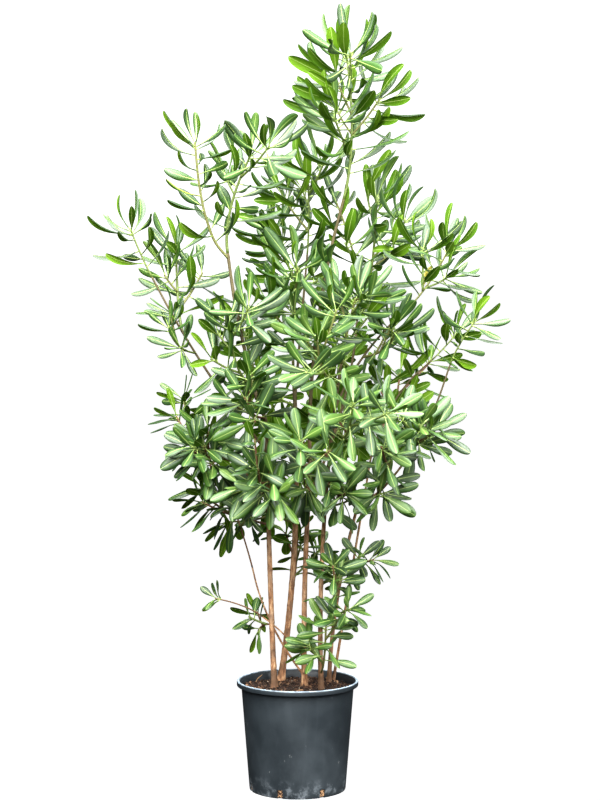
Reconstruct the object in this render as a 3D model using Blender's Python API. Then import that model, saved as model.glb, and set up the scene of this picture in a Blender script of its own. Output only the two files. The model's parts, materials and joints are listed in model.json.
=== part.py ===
"""Japanese pittosporum, a shrub of several stems in a black nursery pot. Metres, +Z up.

The origin is the centre of the pot's flat underside, and the front of the plant faces -Y.
Stems rise from the soil, boughs leave the stems, and every mass of foliage grows by a seeded
rule from one stem of its own, which starts at a bough's tip or at a limb's side.
"""

import math
import random
from collections import namedtuple

import bmesh
import bpy
from mathutils import Quaternion, Vector
from mathutils.bvhtree import BVHTree
from mathutils.kdtree import KDTree

GAP = 0.0003
UP = Vector((0, 0, 1))
GOLDEN_ANGLE = math.radians(137.5)

# Pot
POT_HEIGHT = 0.272
RIM_RADIUS = 0.150
WALL_TOP_RADIUS = 0.139
FOOT_RADIUS = 0.119
LIP_HEIGHT = 0.013
WALL = 0.0025
FLOOR = 0.003
POT_SIDES = 40
SLOT_COUNT = 7
SLOT_WIDTH = 0.014
SLOT_HEIGHT = 0.022
SLOT_DEPTH = 0.012
SLOT_MARGIN = 0.001
LIP_ROUND = 0.004
FIRST_SLOT = math.radians(-21)

# Soil
SOIL_TOP = 0.252
SOIL_SIDES = 40

# Limbs
STEM_SIDES = 8
BOUGH_SIDES = 6
RING_EVERY = 0.085
FLARE = 0.45
FLARE_HEIGHT = 0.018
SQUARE_RING = 2.0

# Shoots of a mass of foliage
TWIG_SIDES = 3
TWIG_BASE_RADIUS = 0.0038
TWIG_TIP_RADIUS = 0.0035
TWIG_RINGS = 5
SHOOT_RINGS = 3
SHOOT_FIRST = 0.30
SHOOT_LAST = 0.75
SHOOT_ANGLE = math.radians(40)
SHOOT_SHARE = 0.45
SHOOT_SHORTEST = 0.05
SHOOT_LONGEST = 0.11
SHOOT_LIFT = 0.16
SHOOT_BOW = 0.04
ANGLE_SPREAD = (0.8, 1.25)
LENGTH_SPREAD = (0.85, 1.2)
STEM_SQUARE = 0.006
STEM_PULL = 0.4
STEM_BOW = 0.16

# Leaves: a leaf is widest past its middle, with a blunt tip and a stout stalk
STEM_LEAVES = 10
SHOOT_LEAVES = 5
STEM_SPACING = 0.018
SHOOT_SPACING = 0.009
LEAF_LENGTH_SPREAD = (0.85, 1.08)
LEAF_TRIES = 3
LEAF_STALK = 0.014
LOWEST_SHARE = 0.18
LEAF_WIDEST = 0.64
LEAF_SLENDERNESS = 0.41
LEAF_ROOT = 0.0011
LEAF_ROOT_DEPTH = 0.0007
LEAF_SUNK = 0.0004
LEAF_RISE = 0.020
LEAF_SAG = 0.004
LEAF_GUARD = 0.0008
OPEN_ANGLE = math.radians(28)
LAST_ANGLE = math.radians(84)
SPACE_MARGIN = 0.002
SPACE_STEP = 0.02
LOWEST_LEAF = POT_HEIGHT + 0.012

Limb = namedtuple("Limb", "axis radii sides level")

# Stems: name, foot (x, y), tip (x, y, z), bow of the middle (x, y), radius at the foot and the tip
STEMS = (
    ("stem_left", (-0.057, -0.005), (-0.075, -0.100, 0.900), (-0.002, 0.000), 0.0072, 0.0050),
    ("stem_back", (-0.042, 0.090), (-0.010, 0.100, 1.020), (0.020, -0.025), 0.0083, 0.0048),
    ("stem_middle", (0.017, 0.015), (0.031, 0.030, 0.777), (-0.006, -0.010), 0.0070, 0.0056),
    ("stem_front", (0.058, -0.020), (0.105, -0.100, 1.060), (-0.018, 0.000), 0.0064, 0.0036),
    ("stem_right", (0.078, 0.066), (0.143, -0.010, 0.690), (-0.012, 0.000), 0.0054, 0.0036),
    ("stem_far_right", (0.089, 0.082), (0.179, 0.070, 0.800), (0.000, 0.000), 0.0036, 0.0026),
    ("stem_thin_left", (0.031, 0.050), (-0.111, -0.020, 0.555), (-0.022, 0.005), 0.0030, 0.0020),
)

# Boughs: name, parent, share of the parent's length, tip (x, y, z), bow (x, y, z), radii
BOUGHS = (
    ("bough_leader", "stem_middle", 1.0, (0.113, 0.040, 1.455), (-0.027, 0.0, 0.0), 0.0050, 0.0036),
    ("bough_middle_right", "stem_middle", 0.90, (0.150, 0.120, 1.205), (0.028, 0.0, 0.0), 0.0040, 0.0027),
    ("bough_left_top", "stem_left", 1.0, (-0.168, -0.070, 1.325), (-0.010, 0.0, 0.0), 0.0049, 0.0038),
    ("bough_far_left", "stem_left", 0.92, (-0.350, -0.080, 1.268), (-0.010, 0.0, -0.01), 0.0036, 0.0023),
    ("bough_back_top", "stem_back", 0.92, (0.024, 0.170, 1.316), (0.0, 0.01, 0.0), 0.0036, 0.0025),
    ("bough_right_top", "stem_front", 0.87, (0.268, -0.040, 1.192), (-0.016, 0.0, 0.008), 0.0032, 0.0024),
    ("bough_right_middle", "stem_far_right", 1.0, (0.334, 0.100, 1.057), (-0.020, 0.0, 0.02), 0.0026, 0.0020),
    ("bough_right_low", "stem_right", 1.0, (0.369, -0.060, 1.055), (0.022, 0.0, -0.030), 0.0032, 0.0021),
    ("bough_left_middle", "stem_middle", 0.80, (-0.179, -0.060, 0.790), (0.0, 0.0, 0.0), 0.0028, 0.0020),
    ("twig_low_left", "stem_middle", 0.14, (-0.086, 0.000, 0.429), (0.0, -0.012, 0.010), 0.0022, 0.0019),
)

# Masses of foliage: name, limb, share of its length, tip of the mass's stem (x, y, z),
# number of side shoots, the way the first of them leans (0 is right, 90 is back), length of a leaf
MASSES = (
    ("leaves_top", "bough_leader", 1.0, (0.120, 0.040, 1.803), 4, 222, 0.147),
    ("leaves_left_peak", "bough_left_top", 1.0, (-0.111, -0.080, 1.563), 2, 160, 0.132),
    ("leaves_left_high", "bough_left_top", 0.97, (-0.245, -0.100, 1.591), 0, 0, 0.114),
    ("leaves_left_upright", "bough_far_left", 0.70, (-0.295, -0.020, 1.337), 1, 20, 0.118),
    ("leaves_far_left", "bough_far_left", 1.0, (-0.402, -0.080, 1.385), 0, 0, 0.114),
    ("leaves_left_outer", "bough_far_left", 0.58, (-0.306, -0.160, 1.152), 1, 300, 0.086),
    ("leaves_left_inner", "bough_left_top", 0.24, (-0.165, -0.160, 1.171), 2, 180, 0.120),
    ("leaves_centre_high", "bough_back_top", 1.0, (0.026, 0.180, 1.515), 2, 180, 0.132),
    ("leaves_centre", "stem_back", 1.0, (0.000, -0.040, 1.290), 2, 200, 0.132),
    ("leaves_centre_right", "bough_middle_right", 1.0, (0.098, 0.170, 1.445), 2, 150, 0.132),
    ("leaves_right_peak", "bough_middle_right", 0.90, (0.195, 0.060, 1.460), 3, 200, 0.132),
    ("leaves_front_high", "stem_front", 1.0, (0.139, -0.140, 1.220), 3, 20, 0.126),
    ("leaves_right_high", "bough_right_top", 1.0, (0.369, -0.040, 1.340), 1, 180, 0.122),
    ("leaves_right_back", "bough_right_middle", 1.0, (0.397, 0.120, 1.123), 0, 0, 0.112),
    ("leaves_far_right", "bough_right_low", 1.0, (0.430, -0.080, 1.165), 0, 0, 0.118),
    ("leaves_right_low", "bough_right_low", 0.50, (0.291, -0.180, 0.920), 2, 30, 0.112),
    ("leaves_right_inner", "bough_right_top", 0.46, (0.236, -0.110, 1.140), 2, 90, 0.116),
    ("leaves_left_wide", "stem_left", 0.85, (-0.297, 0.000, 0.925), 2, 230, 0.100),
    ("leaves_left_middle", "bough_left_middle", 1.0, (-0.223, -0.140, 0.867), 3, 300, 0.110),
    ("leaves_left_front", "stem_left", 0.76, (-0.093, -0.260, 0.824), 3, 180, 0.110),
    ("leaves_left_shoulder", "bough_left_top", 0.07, (-0.124, -0.230, 0.990), 3, 160, 0.114),
    ("leaves_left_low", "stem_left", 0.64, (-0.239, 0.060, 0.745), 2, 200, 0.110),
    ("leaves_thin_stem", "stem_thin_left", 1.0, (-0.158, -0.050, 0.716), 1, 0, 0.086),
    ("leaves_low_twig", "twig_low_left", 1.0, (-0.203, 0.000, 0.475), 0, 0, 0.076),
    ("leaves_low_cluster", "twig_low_left", 0.80, (-0.098, 0.045, 0.385), 1, 200, 0.082),
    ("leaves_right_foot", "stem_far_right", 0.55, (0.150, -0.030, 0.585), 1, 0, 0.088),
    ("leaves_stem_shoot", "stem_front", 0.20, (0.100, -0.090, 0.545), 3, 330, 0.095),
    ("leaves_stem_back", "stem_back", 0.30, (0.000, 0.130, 0.620), 3, 0, 0.098),
    ("leaves_sucker", "stem_front", 0.05, (0.069, -0.090, 0.425), 2, 180, 0.098),
    ("leaves_young", "stem_front", 0.56, (0.104, -0.150, 0.775), 3, 0, 0.105),
    ("leaves_front_middle", "stem_middle", 0.93, (0.006, -0.290, 0.896), 3, 60, 0.112),
    ("leaves_front_right", "stem_front", 0.74, (0.130, -0.320, 0.985), 3, 60, 0.116),
    ("leaves_front_centre", "stem_front", 0.93, (0.045, -0.240, 1.130), 3, 120, 0.120),
    ("leaves_front_low_right", "bough_right_low", 0.10, (0.225, -0.200, 0.875), 2, 90, 0.110),
    ("leaves_back_middle", "stem_back", 0.68, (-0.020, 0.330, 0.861), 3, 90, 0.112),
    ("leaves_back_right", "bough_middle_right", 0.30, (0.123, 0.350, 0.930), 3, 45, 0.112),
    ("leaves_back_left", "stem_back", 0.90, (-0.130, 0.280, 1.060), 2, 135, 0.118),
    ("leaves_back_high", "bough_middle_right", 0.66, (0.080, 0.300, 1.160), 3, 90, 0.120),
    ("leaves_back_far_right", "bough_right_middle", 0.30, (0.261, 0.270, 1.010), 3, 60, 0.110),
    ("leaves_back_top", "bough_back_top", 0.80, (-0.040, 0.270, 1.350), 2, 110, 0.126),
    ("leaves_back_low_left", "stem_back", 0.52, (-0.160, 0.240, 0.770), 3, 150, 0.110),
)


def plain_material(name, colour, roughness):
    material = bpy.data.materials.new(name)
    material.use_nodes = True
    material.diffuse_color = (*colour, 1)
    shader = material.node_tree.nodes["Principled BSDF"]
    shader.inputs["Base Color"].default_value = (*colour, 1)
    shader.inputs["Roughness"].default_value = roughness
    shader.inputs["Metallic"].default_value = 0.0
    return material


def clear_scene():
    for thing in list(bpy.data.objects):
        bpy.data.objects.remove(thing, do_unlink=True)


def add_object(name, points, faces, material, origin, collection=None):
    """One mesh object with its origin at a given point and its faces pointing out."""
    mesh = bpy.data.meshes.new(name)
    mesh.from_pydata([point - origin for point in points], [], faces)
    shape = bmesh.new()
    shape.from_mesh(mesh)
    bmesh.ops.recalc_face_normals(shape, faces=shape.faces)
    shape.to_mesh(mesh)
    shape.free()
    mesh.materials.append(material)
    thing = bpy.data.objects.new(name, mesh)
    thing.location = origin
    (collection or bpy.context.scene.collection).objects.link(thing)
    return thing


def shade_round(thing):
    thing.data.shade_smooth()
    thing.data.set_sharp_from_angle(angle=math.radians(40))


# Curves and tubes


def bowed_line(start, end, bow, count):
    """Points on a curve from start to end whose middle is moved by bow."""
    control = (start + end) / 2 + bow * 2
    points = []
    for index in range(count):
        share = index / (count - 1)
        rest = 1 - share
        points.append(start * rest**2 + control * (2 * rest * share) + end * share**2)
    return points


def steps_for(length):
    return max(4, round(length / RING_EVERY) + 1)


def length_of(axis):
    return sum((b - a).length for a, b in zip(axis, axis[1:]))


def place_along(axis, share):
    """The point at a share of an axis's length, and the direction there."""
    lengths = [(b - a).length for a, b in zip(axis, axis[1:])]
    left = share * sum(lengths)
    for index, length in enumerate(lengths):
        if left <= length or index == len(lengths) - 1:
            ahead = axis[index + 1] - axis[index]
            return axis[index] + ahead * min(left / length, 1), ahead.normalized()
        left -= length


def tube(axis, radii, sides, level=False):
    """Points and faces of a closed tube round an axis, its first end level if asked."""
    points = []
    across = Vector((1, 0.1, 0))
    last = len(axis) - 1
    for index, centre in enumerate(axis):
        ahead = (axis[min(index + 1, last)] - axis[max(index - 1, 0)]).normalized()
        if level and index == 0:
            ahead = UP
        across = (across - ahead * across.dot(ahead)).normalized()
        other = ahead.cross(across)
        for side in range(sides):
            angle = math.tau * side / sides
            spoke = across * math.cos(angle) + other * math.sin(angle)
            points.append(centre + spoke * radii[index])
    faces = []
    for ring in range(last):
        for side in range(sides):
            low = ring * sides + side
            next_low = ring * sides + (side + 1) % sides
            faces.append((low, next_low, next_low + sides, low + sides))
    faces.append(tuple(reversed(range(sides))))
    faces.append(tuple(range(len(points) - sides, len(points))))
    return points, faces


def tapered(axis, first, last):
    count = len(axis) - 1
    return [first + (last - first) * index / count for index in range(count + 1)]


def limb_shape(limb, extra=0.0):
    """A limb's tube, its flat sides moved out by extra."""
    outward = extra / math.cos(math.pi / limb.sides)
    radii = [radius + outward for radius in limb.radii]
    return tube(limb.axis, radii, limb.sides, limb.level)


# Boolean cuts and unions


def keep_main_body(thing):
    """Drops the loose scraps and sealed hollows that a Boolean leaves beside the main body."""
    shape = bmesh.new()
    shape.from_mesh(thing.data)
    unseen = set(shape.verts)
    bodies = []
    while unseen:
        front = [unseen.pop()]
        body = set(front)
        while front:
            for edge in front.pop().link_edges:
                for vertex in edge.verts:
                    if vertex in unseen:
                        unseen.remove(vertex)
                        body.add(vertex)
                        front.append(vertex)
        bodies.append(body)
    bodies.sort(key=len)
    scraps = [vertex for body in bodies[:-1] for vertex in body]
    bmesh.ops.delete(shape, geom=scraps, context="VERTS")
    shape.to_mesh(thing.data)
    shape.free()


def is_closed(mesh):
    shape = bmesh.new()
    shape.from_mesh(mesh)
    closed = all(edge.is_manifold for edge in shape.edges) and len(shape.faces) > 0
    shape.free()
    return closed


def apply_boolean(thing, operation, operand):
    """Cuts thing by an object or a collection, and falls back from EXACT to MANIFOLD."""
    for solver in ("EXACT", "MANIFOLD"):
        modifier = thing.modifiers.new("Boolean", "BOOLEAN")
        modifier.operation = operation
        modifier.solver = solver
        if isinstance(operand, bpy.types.Collection):
            modifier.operand_type = "COLLECTION"
            modifier.collection = operand
        else:
            modifier.object = operand
        evaluated = thing.evaluated_get(bpy.context.evaluated_depsgraph_get())
        result = bpy.data.meshes.new_from_object(evaluated)
        thing.modifiers.remove(modifier)
        if is_closed(result):
            thing.data = result
            keep_main_body(thing)
            return True
    return False


def cut_clear(thing, limb):
    """Cuts a limb or a mass's stem clear of the limb that it leaves."""
    guard = add_object("guard", *limb_shape(limb, GAP), thing.data.materials[0], Vector())
    apply_boolean(thing, "DIFFERENCE", guard)
    bpy.data.objects.remove(guard, do_unlink=True)


# Pot and soil


def turned_shape(profile, sides):
    """Points and faces of a profile of (radius, height) turned round Z, closed at both ends."""
    points = []
    for radius, height in profile:
        for side in range(sides):
            angle = math.tau * side / sides
            points.append(Vector((radius * math.cos(angle), radius * math.sin(angle), height)))
    faces = []
    for ring in range(len(profile) - 1):
        for side in range(sides):
            low = ring * sides + side
            next_low = ring * sides + (side + 1) % sides
            faces.append((low, next_low, next_low + sides, low + sides))
    faces.append(tuple(reversed(range(sides))))
    faces.append(tuple(range(len(points) - sides, len(points))))
    return points, faces


def wall_radius(height):
    """Outer radius of the pot's wall at a height."""
    share = height / (POT_HEIGHT - LIP_HEIGHT)
    return FOOT_RADIUS + (WALL_TOP_RADIUS - FOOT_RADIUS) * share


def pot_profile():
    lip_foot = POT_HEIGHT - LIP_HEIGHT
    half, quarter = LIP_ROUND / 2, LIP_ROUND / 4
    return (
        (FOOT_RADIUS - half, 0),
        (wall_radius(half), half),
        (wall_radius(lip_foot), lip_foot),
        (RIM_RADIUS - half, lip_foot + quarter),
        (RIM_RADIUS, lip_foot + LIP_ROUND - quarter),
        (RIM_RADIUS, POT_HEIGHT - LIP_ROUND),
        (RIM_RADIUS - half, POT_HEIGHT - quarter),
        (RIM_RADIUS - LIP_ROUND - quarter, POT_HEIGHT),
        (WALL_TOP_RADIUS + quarter, POT_HEIGHT - LIP_ROUND + quarter),
        (wall_radius(lip_foot) - WALL, lip_foot - LIP_ROUND),
        (wall_radius(FLOOR) - WALL, FLOOR),
    )


def build_pot(material):
    """The nursery pot: a tapering cup with a rolled lip and drain slots round its foot."""
    pot = add_object("pot", *turned_shape(pot_profile(), POT_SIDES), material, Vector())
    for number in range(SLOT_COUNT):
        angle = FIRST_SLOT + math.tau * number / SLOT_COUNT
        outward = Vector((math.sin(angle), -math.cos(angle), 0))
        middle = outward * (FOOT_RADIUS - SLOT_MARGIN) + UP * (SLOT_HEIGHT / 2 - SLOT_MARGIN)
        bpy.ops.mesh.primitive_cube_add(size=1, location=middle, rotation=(0, 0, angle))
        slot = bpy.context.object
        slot.scale = (SLOT_WIDTH, SLOT_DEPTH, SLOT_HEIGHT + SLOT_MARGIN * 2)
        bpy.context.view_layer.update()
        apply_boolean(pot, "DIFFERENCE", slot)
        bpy.data.objects.remove(slot, do_unlink=True)
    shade_round(pot)
    return pot


def build_soil(material):
    """The pot's filling, up to its level top a little below the rim."""
    foot = FLOOR + GAP
    profile = (
        (wall_radius(foot) - WALL - GAP, foot),
        (wall_radius(SOIL_TOP) - WALL - GAP, SOIL_TOP),
    )
    soil = add_object("soil", *turned_shape(profile, SOIL_SIDES), material, Vector())
    shade_round(soil)
    return soil


# Limbs


def stem_limb(foot, tip, bow, foot_radius, tip_radius):
    start = Vector((*foot, SOIL_TOP + GAP))
    end = Vector(tip)
    count = steps_for((end - start).length) + 1
    axis = bowed_line(start, end, Vector((*bow, 0)), count)
    # One more ring low down gives the root flare its curve
    axis.insert(1, axis[0].lerp(axis[1], FLARE_HEIGHT / (axis[1] - axis[0]).length))
    radii = []
    for point in axis:
        share = (point - start).length / (end - start).length
        plain = foot_radius + (tip_radius - foot_radius) * min(share, 1)
        height = point.z - start.z
        radii.append(plain * (1 + FLARE * math.exp(-height / FLARE_HEIGHT)))
    return Limb(axis, radii, STEM_SIDES, True)


def bough_limb(parent, share, tip, bow, base_radius, tip_radius):
    """A bough from a point on its parent, or just clear of the parent's tip, to its own tip."""
    place, ahead = place_along(parent.axis, share)
    start = place + ahead * GAP if share == 1.0 else place
    end = Vector(tip)
    count = steps_for((end - start).length)
    axis = bowed_line(start, end, Vector(bow), count)
    if share == 1.0:
        # The first ring lies square to the parent's end, so the two flat ends are parallel
        axis.insert(1, start + ahead * base_radius * SQUARE_RING)
    return Limb(axis, tapered(axis, base_radius, tip_radius), BOUGH_SIDES, False)


def grow_limbs():
    """Every stem and bough by name, with the name of the limb that it is cut clear of."""
    limbs = {}
    parents = {}
    for name, foot, tip, bow, foot_radius, tip_radius in STEMS:
        limbs[name] = stem_limb(foot, tip, bow, foot_radius, tip_radius)
    for name, parent, share, tip, bow, base_radius, tip_radius in BOUGHS:
        limbs[name] = bough_limb(limbs[parent], share, tip, bow, base_radius, tip_radius)
        if share < 1.0:
            parents[name] = parent
    return limbs, parents


def build_limbs(limbs, parents, material):
    for name, limb in limbs.items():
        thing = add_object(name, *limb_shape(limb), material, limb.axis[0])
        if name in parents:
            cut_clear(thing, limbs[parents[name]])
        shade_round(thing)


# Masses of foliage


def mass_stem(limb, share, tip):
    """The axis of a mass's own stem, which goes on from its limb and then turns to the light."""
    place, ahead = place_along(limb.axis, share)
    end = Vector(tip)
    if share == 1.0:
        start = place + ahead * GAP
        first = start + ahead * STEM_SQUARE
        control = start + ahead * (end - start).length * STEM_PULL
        middle = (start + end) / 2
        rest = bowed_line(start, end, (control - middle) / 2, TWIG_RINGS)
        return [start, first] + rest[1:]
    sag = Vector((end.x - place.x, end.y - place.y, place.z - end.z))
    return bowed_line(place, end, sag * STEM_BOW, TWIG_RINGS)


def side_shoots(stem, count, first_turn, chance):
    """Axes of the side shoots: they leave the stem in turn by the golden angle and rise."""
    reach = length_of(stem)
    shoots = []
    for number in range(count):
        share = SHOOT_FIRST + (SHOOT_LAST - SHOOT_FIRST) * number / max(count - 1, 1)
        place, ahead = place_along(stem, share)
        turn = math.radians(first_turn) + GOLDEN_ANGLE * number
        outward = leaning(ahead, SHOOT_ANGLE * chance.uniform(*ANGLE_SPREAD), turn)
        length = min(reach * SHOOT_SHARE, SHOOT_LONGEST) * chance.uniform(*LENGTH_SPREAD)
        length = max(length, SHOOT_SHORTEST)
        end = place + outward * length + UP * length * SHOOT_LIFT
        shoots.append(bowed_line(place, end, -UP * length * SHOOT_BOW, SHOOT_RINGS))
    return shoots


def leaning(ahead, angle, turn):
    """A direction that leans from ahead by an angle. A turn of 0 is to the right, a quarter to the back."""
    across = (Vector((1, 0, 0)) - ahead * ahead.x).normalized()
    spoke = Quaternion(ahead, turn) @ across
    return (ahead * math.cos(angle) + spoke * math.sin(angle)).normalized()


def leaf_shape(root, ahead, top, length, guard=0.0):
    """Points and faces of one leaf: a stout stalk end, two shoulders and a tip, in 8 faces."""
    side = ahead.cross(top).normalized()
    top = side.cross(ahead).normalized()
    half = length * LEAF_SLENDERNESS / 2 + guard
    low_root = root - top * (LEAF_ROOT_DEPTH + guard)
    shoulder = root + ahead * length * LEAF_WIDEST - top * (length * LEAF_SAG + guard)
    points = [
        low_root - side * (LEAF_ROOT + guard),
        low_root + side * (LEAF_ROOT + guard),
        root + top * (length * LEAF_RISE + guard),
        shoulder - side * half,
        shoulder + side * half,
        root + ahead * (length + guard),
    ]
    faces = [(0, 2, 1), (0, 1, 4, 3), (3, 4, 5), (2, 0, 3), (2, 3, 5), (1, 2, 4), (2, 5, 4)]
    return points, faces


def leaf_places(shoot, count, spacing, chance):
    """For each leaf, in a spiral from the shoot's tip down, the ways in which it may stand."""
    reach = length_of(shoot)
    turn = chance.uniform(0, math.tau)
    places = []
    for number in range(count):
        share = 1 - spacing * (number + 0.4) / reach
        if share < LOWEST_SHARE:
            break
        place, ahead = place_along(shoot, share)
        turn += GOLDEN_ANGLE
        fold = number / (count - 1)
        ways = []
        for _ in range(LEAF_TRIES):
            angle = OPEN_ANGLE + (LAST_ANGLE - OPEN_ANGLE) * fold * chance.uniform(0.8, 1.2)
            direction = leaning(ahead, angle, turn + chance.uniform(-0.5, 0.5))
            ways.append((place - direction * LEAF_SUNK, direction, ahead))
        places.append(ways)
    return places


class Space:
    """Which mass's stem is nearest to a point, so that each mass keeps to its own space."""

    def __init__(self, stems):
        self.trees = []
        for own in range(len(stems)):
            self.trees.append((self.tree(stems[own : own + 1]), self.tree(stems[:own] + stems[own + 1 :])))

    @staticmethod
    def tree(stems):
        samples = []
        for stem in stems:
            count = max(2, round(length_of(stem) / SPACE_STEP))
            samples += [place_along(stem, index / count)[0] for index in range(1, count + 1)]
        tree = KDTree(len(samples))
        for index, sample in enumerate(samples):
            tree.insert(sample, index)
        tree.balance()
        return tree

    def holds(self, own, points):
        near, others = self.trees[own]
        return all(near.find(p)[2] + SPACE_MARGIN < others.find(p)[2] for p in points)


def touches(shape, obstacles):
    tree = BVHTree.FromPolygons(*shape)
    return any(tree.overlap(obstacle) for obstacle in obstacles)


def fits(number, guard, blade, space, obstacles, blades):
    """Whether a leaf keeps above the pot, to its own mass's space, and clear of all others."""
    if min(point.z for point in guard[0]) < LOWEST_LEAF:
        return False
    return space.holds(number, guard[0]) and not touches(guard, obstacles) and not touches(blade, blades)


def world_tree(thing):
    points = [thing.matrix_world @ vertex.co for vertex in thing.data.vertices]
    return BVHTree.FromPolygons(points, [tuple(face.vertices) for face in thing.data.polygons])


def grow_mass(number, row, stem, limbs, space, obstacles, material):
    """One mass of foliage: its stem, side shoots and leaves, joined into one solid."""
    name, limb_name, share, _, shoot_count, first_turn, leaf_length = row
    chance = random.Random(name)
    parts = bpy.data.collections.new(name + "_parts")
    bpy.context.scene.collection.children.link(parts)
    radii = tapered(stem, TWIG_BASE_RADIUS, TWIG_TIP_RADIUS)
    mass = add_object(name, *tube(stem, radii, TWIG_SIDES), material, stem[0])
    if share < 1.0:
        cut_clear(mass, limbs[limb_name])
    shoots = [(stem, STEM_LEAVES, STEM_SPACING)]
    for shoot in side_shoots(stem, shoot_count, first_turn, chance):
        twig = tube(shoot, tapered(shoot, TWIG_TIP_RADIUS, TWIG_TIP_RADIUS), TWIG_SIDES)
        if space.holds(number, twig[0]) and not touches(twig, obstacles):
            add_object("shoot", *twig, material, Vector(), parts)
            shoots.append((shoot, SHOOT_LEAVES, SHOOT_SPACING))
    blades = []
    for shoot, count, spacing in shoots:
        for ways in leaf_places(shoot, count, spacing, chance):
            length = leaf_length * chance.uniform(*LEAF_LENGTH_SPREAD)
            for root, direction, top in ways:
                guard = leaf_shape(root, direction, top, length, LEAF_GUARD)
                blade = leaf_shape(root + direction * LEAF_STALK, direction, top, length - LEAF_STALK)
                if not fits(number, guard, blade, space, obstacles, blades):
                    continue
                add_object("leaf", *leaf_shape(root, direction, top, length), material, Vector(), parts)
                blades.append(BVHTree.FromPolygons(*blade))
                break
    bpy.context.view_layer.update()
    apply_boolean(mass, "UNION", parts)
    for thing in list(parts.objects):
        bpy.data.objects.remove(thing, do_unlink=True)
    bpy.data.collections.remove(parts)
    return mass


def build_masses(limbs, materials):
    stems = [mass_stem(limbs[limb], share, tip) for _, limb, share, tip, *_ in MASSES]
    space = Space(stems)
    guards = [BVHTree.FromPolygons(*limb_shape(limb, 3 * GAP)) for limb in limbs.values()]
    grown = []
    for number, row in enumerate(MASSES):
        later = []
        for stem in stems[number + 1 :]:
            radii = tapered(stem, TWIG_BASE_RADIUS + GAP, TWIG_TIP_RADIUS + GAP)
            later.append(BVHTree.FromPolygons(*tube(stem, radii, TWIG_SIDES)))
        material = materials[number % len(materials)]
        mass = grow_mass(number, row, stems[number], limbs, space, guards + grown + later, material)
        bpy.context.view_layer.update()
        grown.append(world_tree(mass))


def build():
    clear_scene()
    charcoal = plain_material("charcoal_plastic", (0.045, 0.055, 0.062), 0.55)
    earth = plain_material("potting_soil", (0.10, 0.055, 0.030), 0.95)
    bark = plain_material("bark", (0.36, 0.21, 0.11), 0.80)
    greens = [
        plain_material("leaf_mid_green", (0.10, 0.26, 0.05), 0.40),
        plain_material("leaf_dark_green", (0.06, 0.19, 0.05), 0.38),
        plain_material("leaf_light_green", (0.17, 0.34, 0.08), 0.42),
    ]
    build_pot(charcoal)
    build_soil(earth)
    limbs, parents = grow_limbs()
    build_limbs(limbs, parents, bark)
    build_masses(limbs, greens)


build()
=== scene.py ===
"""Looks of the potted Japanese pittosporum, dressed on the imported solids. Metres, +Z up, front -Y.

The limbs and the stems and side shoots of the masses are worked out here again by the source's
rule, from the same tables. Each shoot then carries finer twigs and its full number of leaves.
"""

import collections
import functools
import itertools
import json
import math
import random

import bpy
import numpy as np
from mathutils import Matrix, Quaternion, Vector, noise
from mathutils.bvhtree import BVHTree
from mathutils.kdtree import KDTree

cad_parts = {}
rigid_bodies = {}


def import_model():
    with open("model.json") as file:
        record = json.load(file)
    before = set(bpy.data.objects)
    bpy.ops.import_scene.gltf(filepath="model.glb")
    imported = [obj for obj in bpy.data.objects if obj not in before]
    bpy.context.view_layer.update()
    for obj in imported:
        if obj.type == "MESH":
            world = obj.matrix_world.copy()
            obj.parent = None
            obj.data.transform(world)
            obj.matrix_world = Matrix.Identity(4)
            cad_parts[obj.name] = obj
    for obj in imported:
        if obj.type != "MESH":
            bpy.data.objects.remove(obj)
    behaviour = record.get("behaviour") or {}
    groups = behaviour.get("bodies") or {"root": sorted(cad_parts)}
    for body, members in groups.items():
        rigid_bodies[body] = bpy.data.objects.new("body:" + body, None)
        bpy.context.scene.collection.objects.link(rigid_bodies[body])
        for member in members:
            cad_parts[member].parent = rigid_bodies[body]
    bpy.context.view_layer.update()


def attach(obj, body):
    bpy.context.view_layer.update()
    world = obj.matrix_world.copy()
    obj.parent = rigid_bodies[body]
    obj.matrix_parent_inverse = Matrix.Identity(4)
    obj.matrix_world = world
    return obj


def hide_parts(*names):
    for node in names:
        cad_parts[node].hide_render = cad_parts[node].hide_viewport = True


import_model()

GAP = 0.0003
UP = Vector((0, 0, 1))
GOLDEN_ANGLE = math.radians(137.5)
BODY = "root"

# Pot and soil, as in the source
POT_HEIGHT = 0.272
RIM_RADIUS = 0.150
WALL_TOP_RADIUS = 0.139
FOOT_RADIUS = 0.119
LIP_HEIGHT = 0.013
WALL = 0.0025
FLOOR = 0.003
SLOT_COUNT = 7
SLOT_WIDTH = 0.014
SLOT_HEIGHT = 0.022
FIRST_SLOT = math.radians(-21)
SOIL_TOP = 0.252

# Growth rule, as in the source
RING_EVERY = 0.085
FEWEST_RINGS = 4
FLARE = 0.45
FLARE_HEIGHT = 0.018
NECK = 2
TWIG_RINGS = 5
STEM_FIRST = 0.006
STEM_STRAIGHT = 0.4
STEM_BOW = 0.16
SHOOT_RINGS = 3
SHOOT_FIRST = 0.30
SHOOT_LAST = 0.75
SHOOT_ANGLE = math.radians(40)
SHOOT_ANGLES = (0.8, 1.25)
SHOOT_SHARE = 0.45
SHOOT_LONGEST = 0.11
SHOOT_SHORTEST = 0.05
SHOOT_LENGTHS = (0.85, 1.2)
SHOOT_LIFT = 0.16
SHOOT_SAG = 0.04
LEAF_WIDEST = 0.64
LOWEST_LEAF = POT_HEIGHT + 0.012
SPACE_STEP = 0.02

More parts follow.
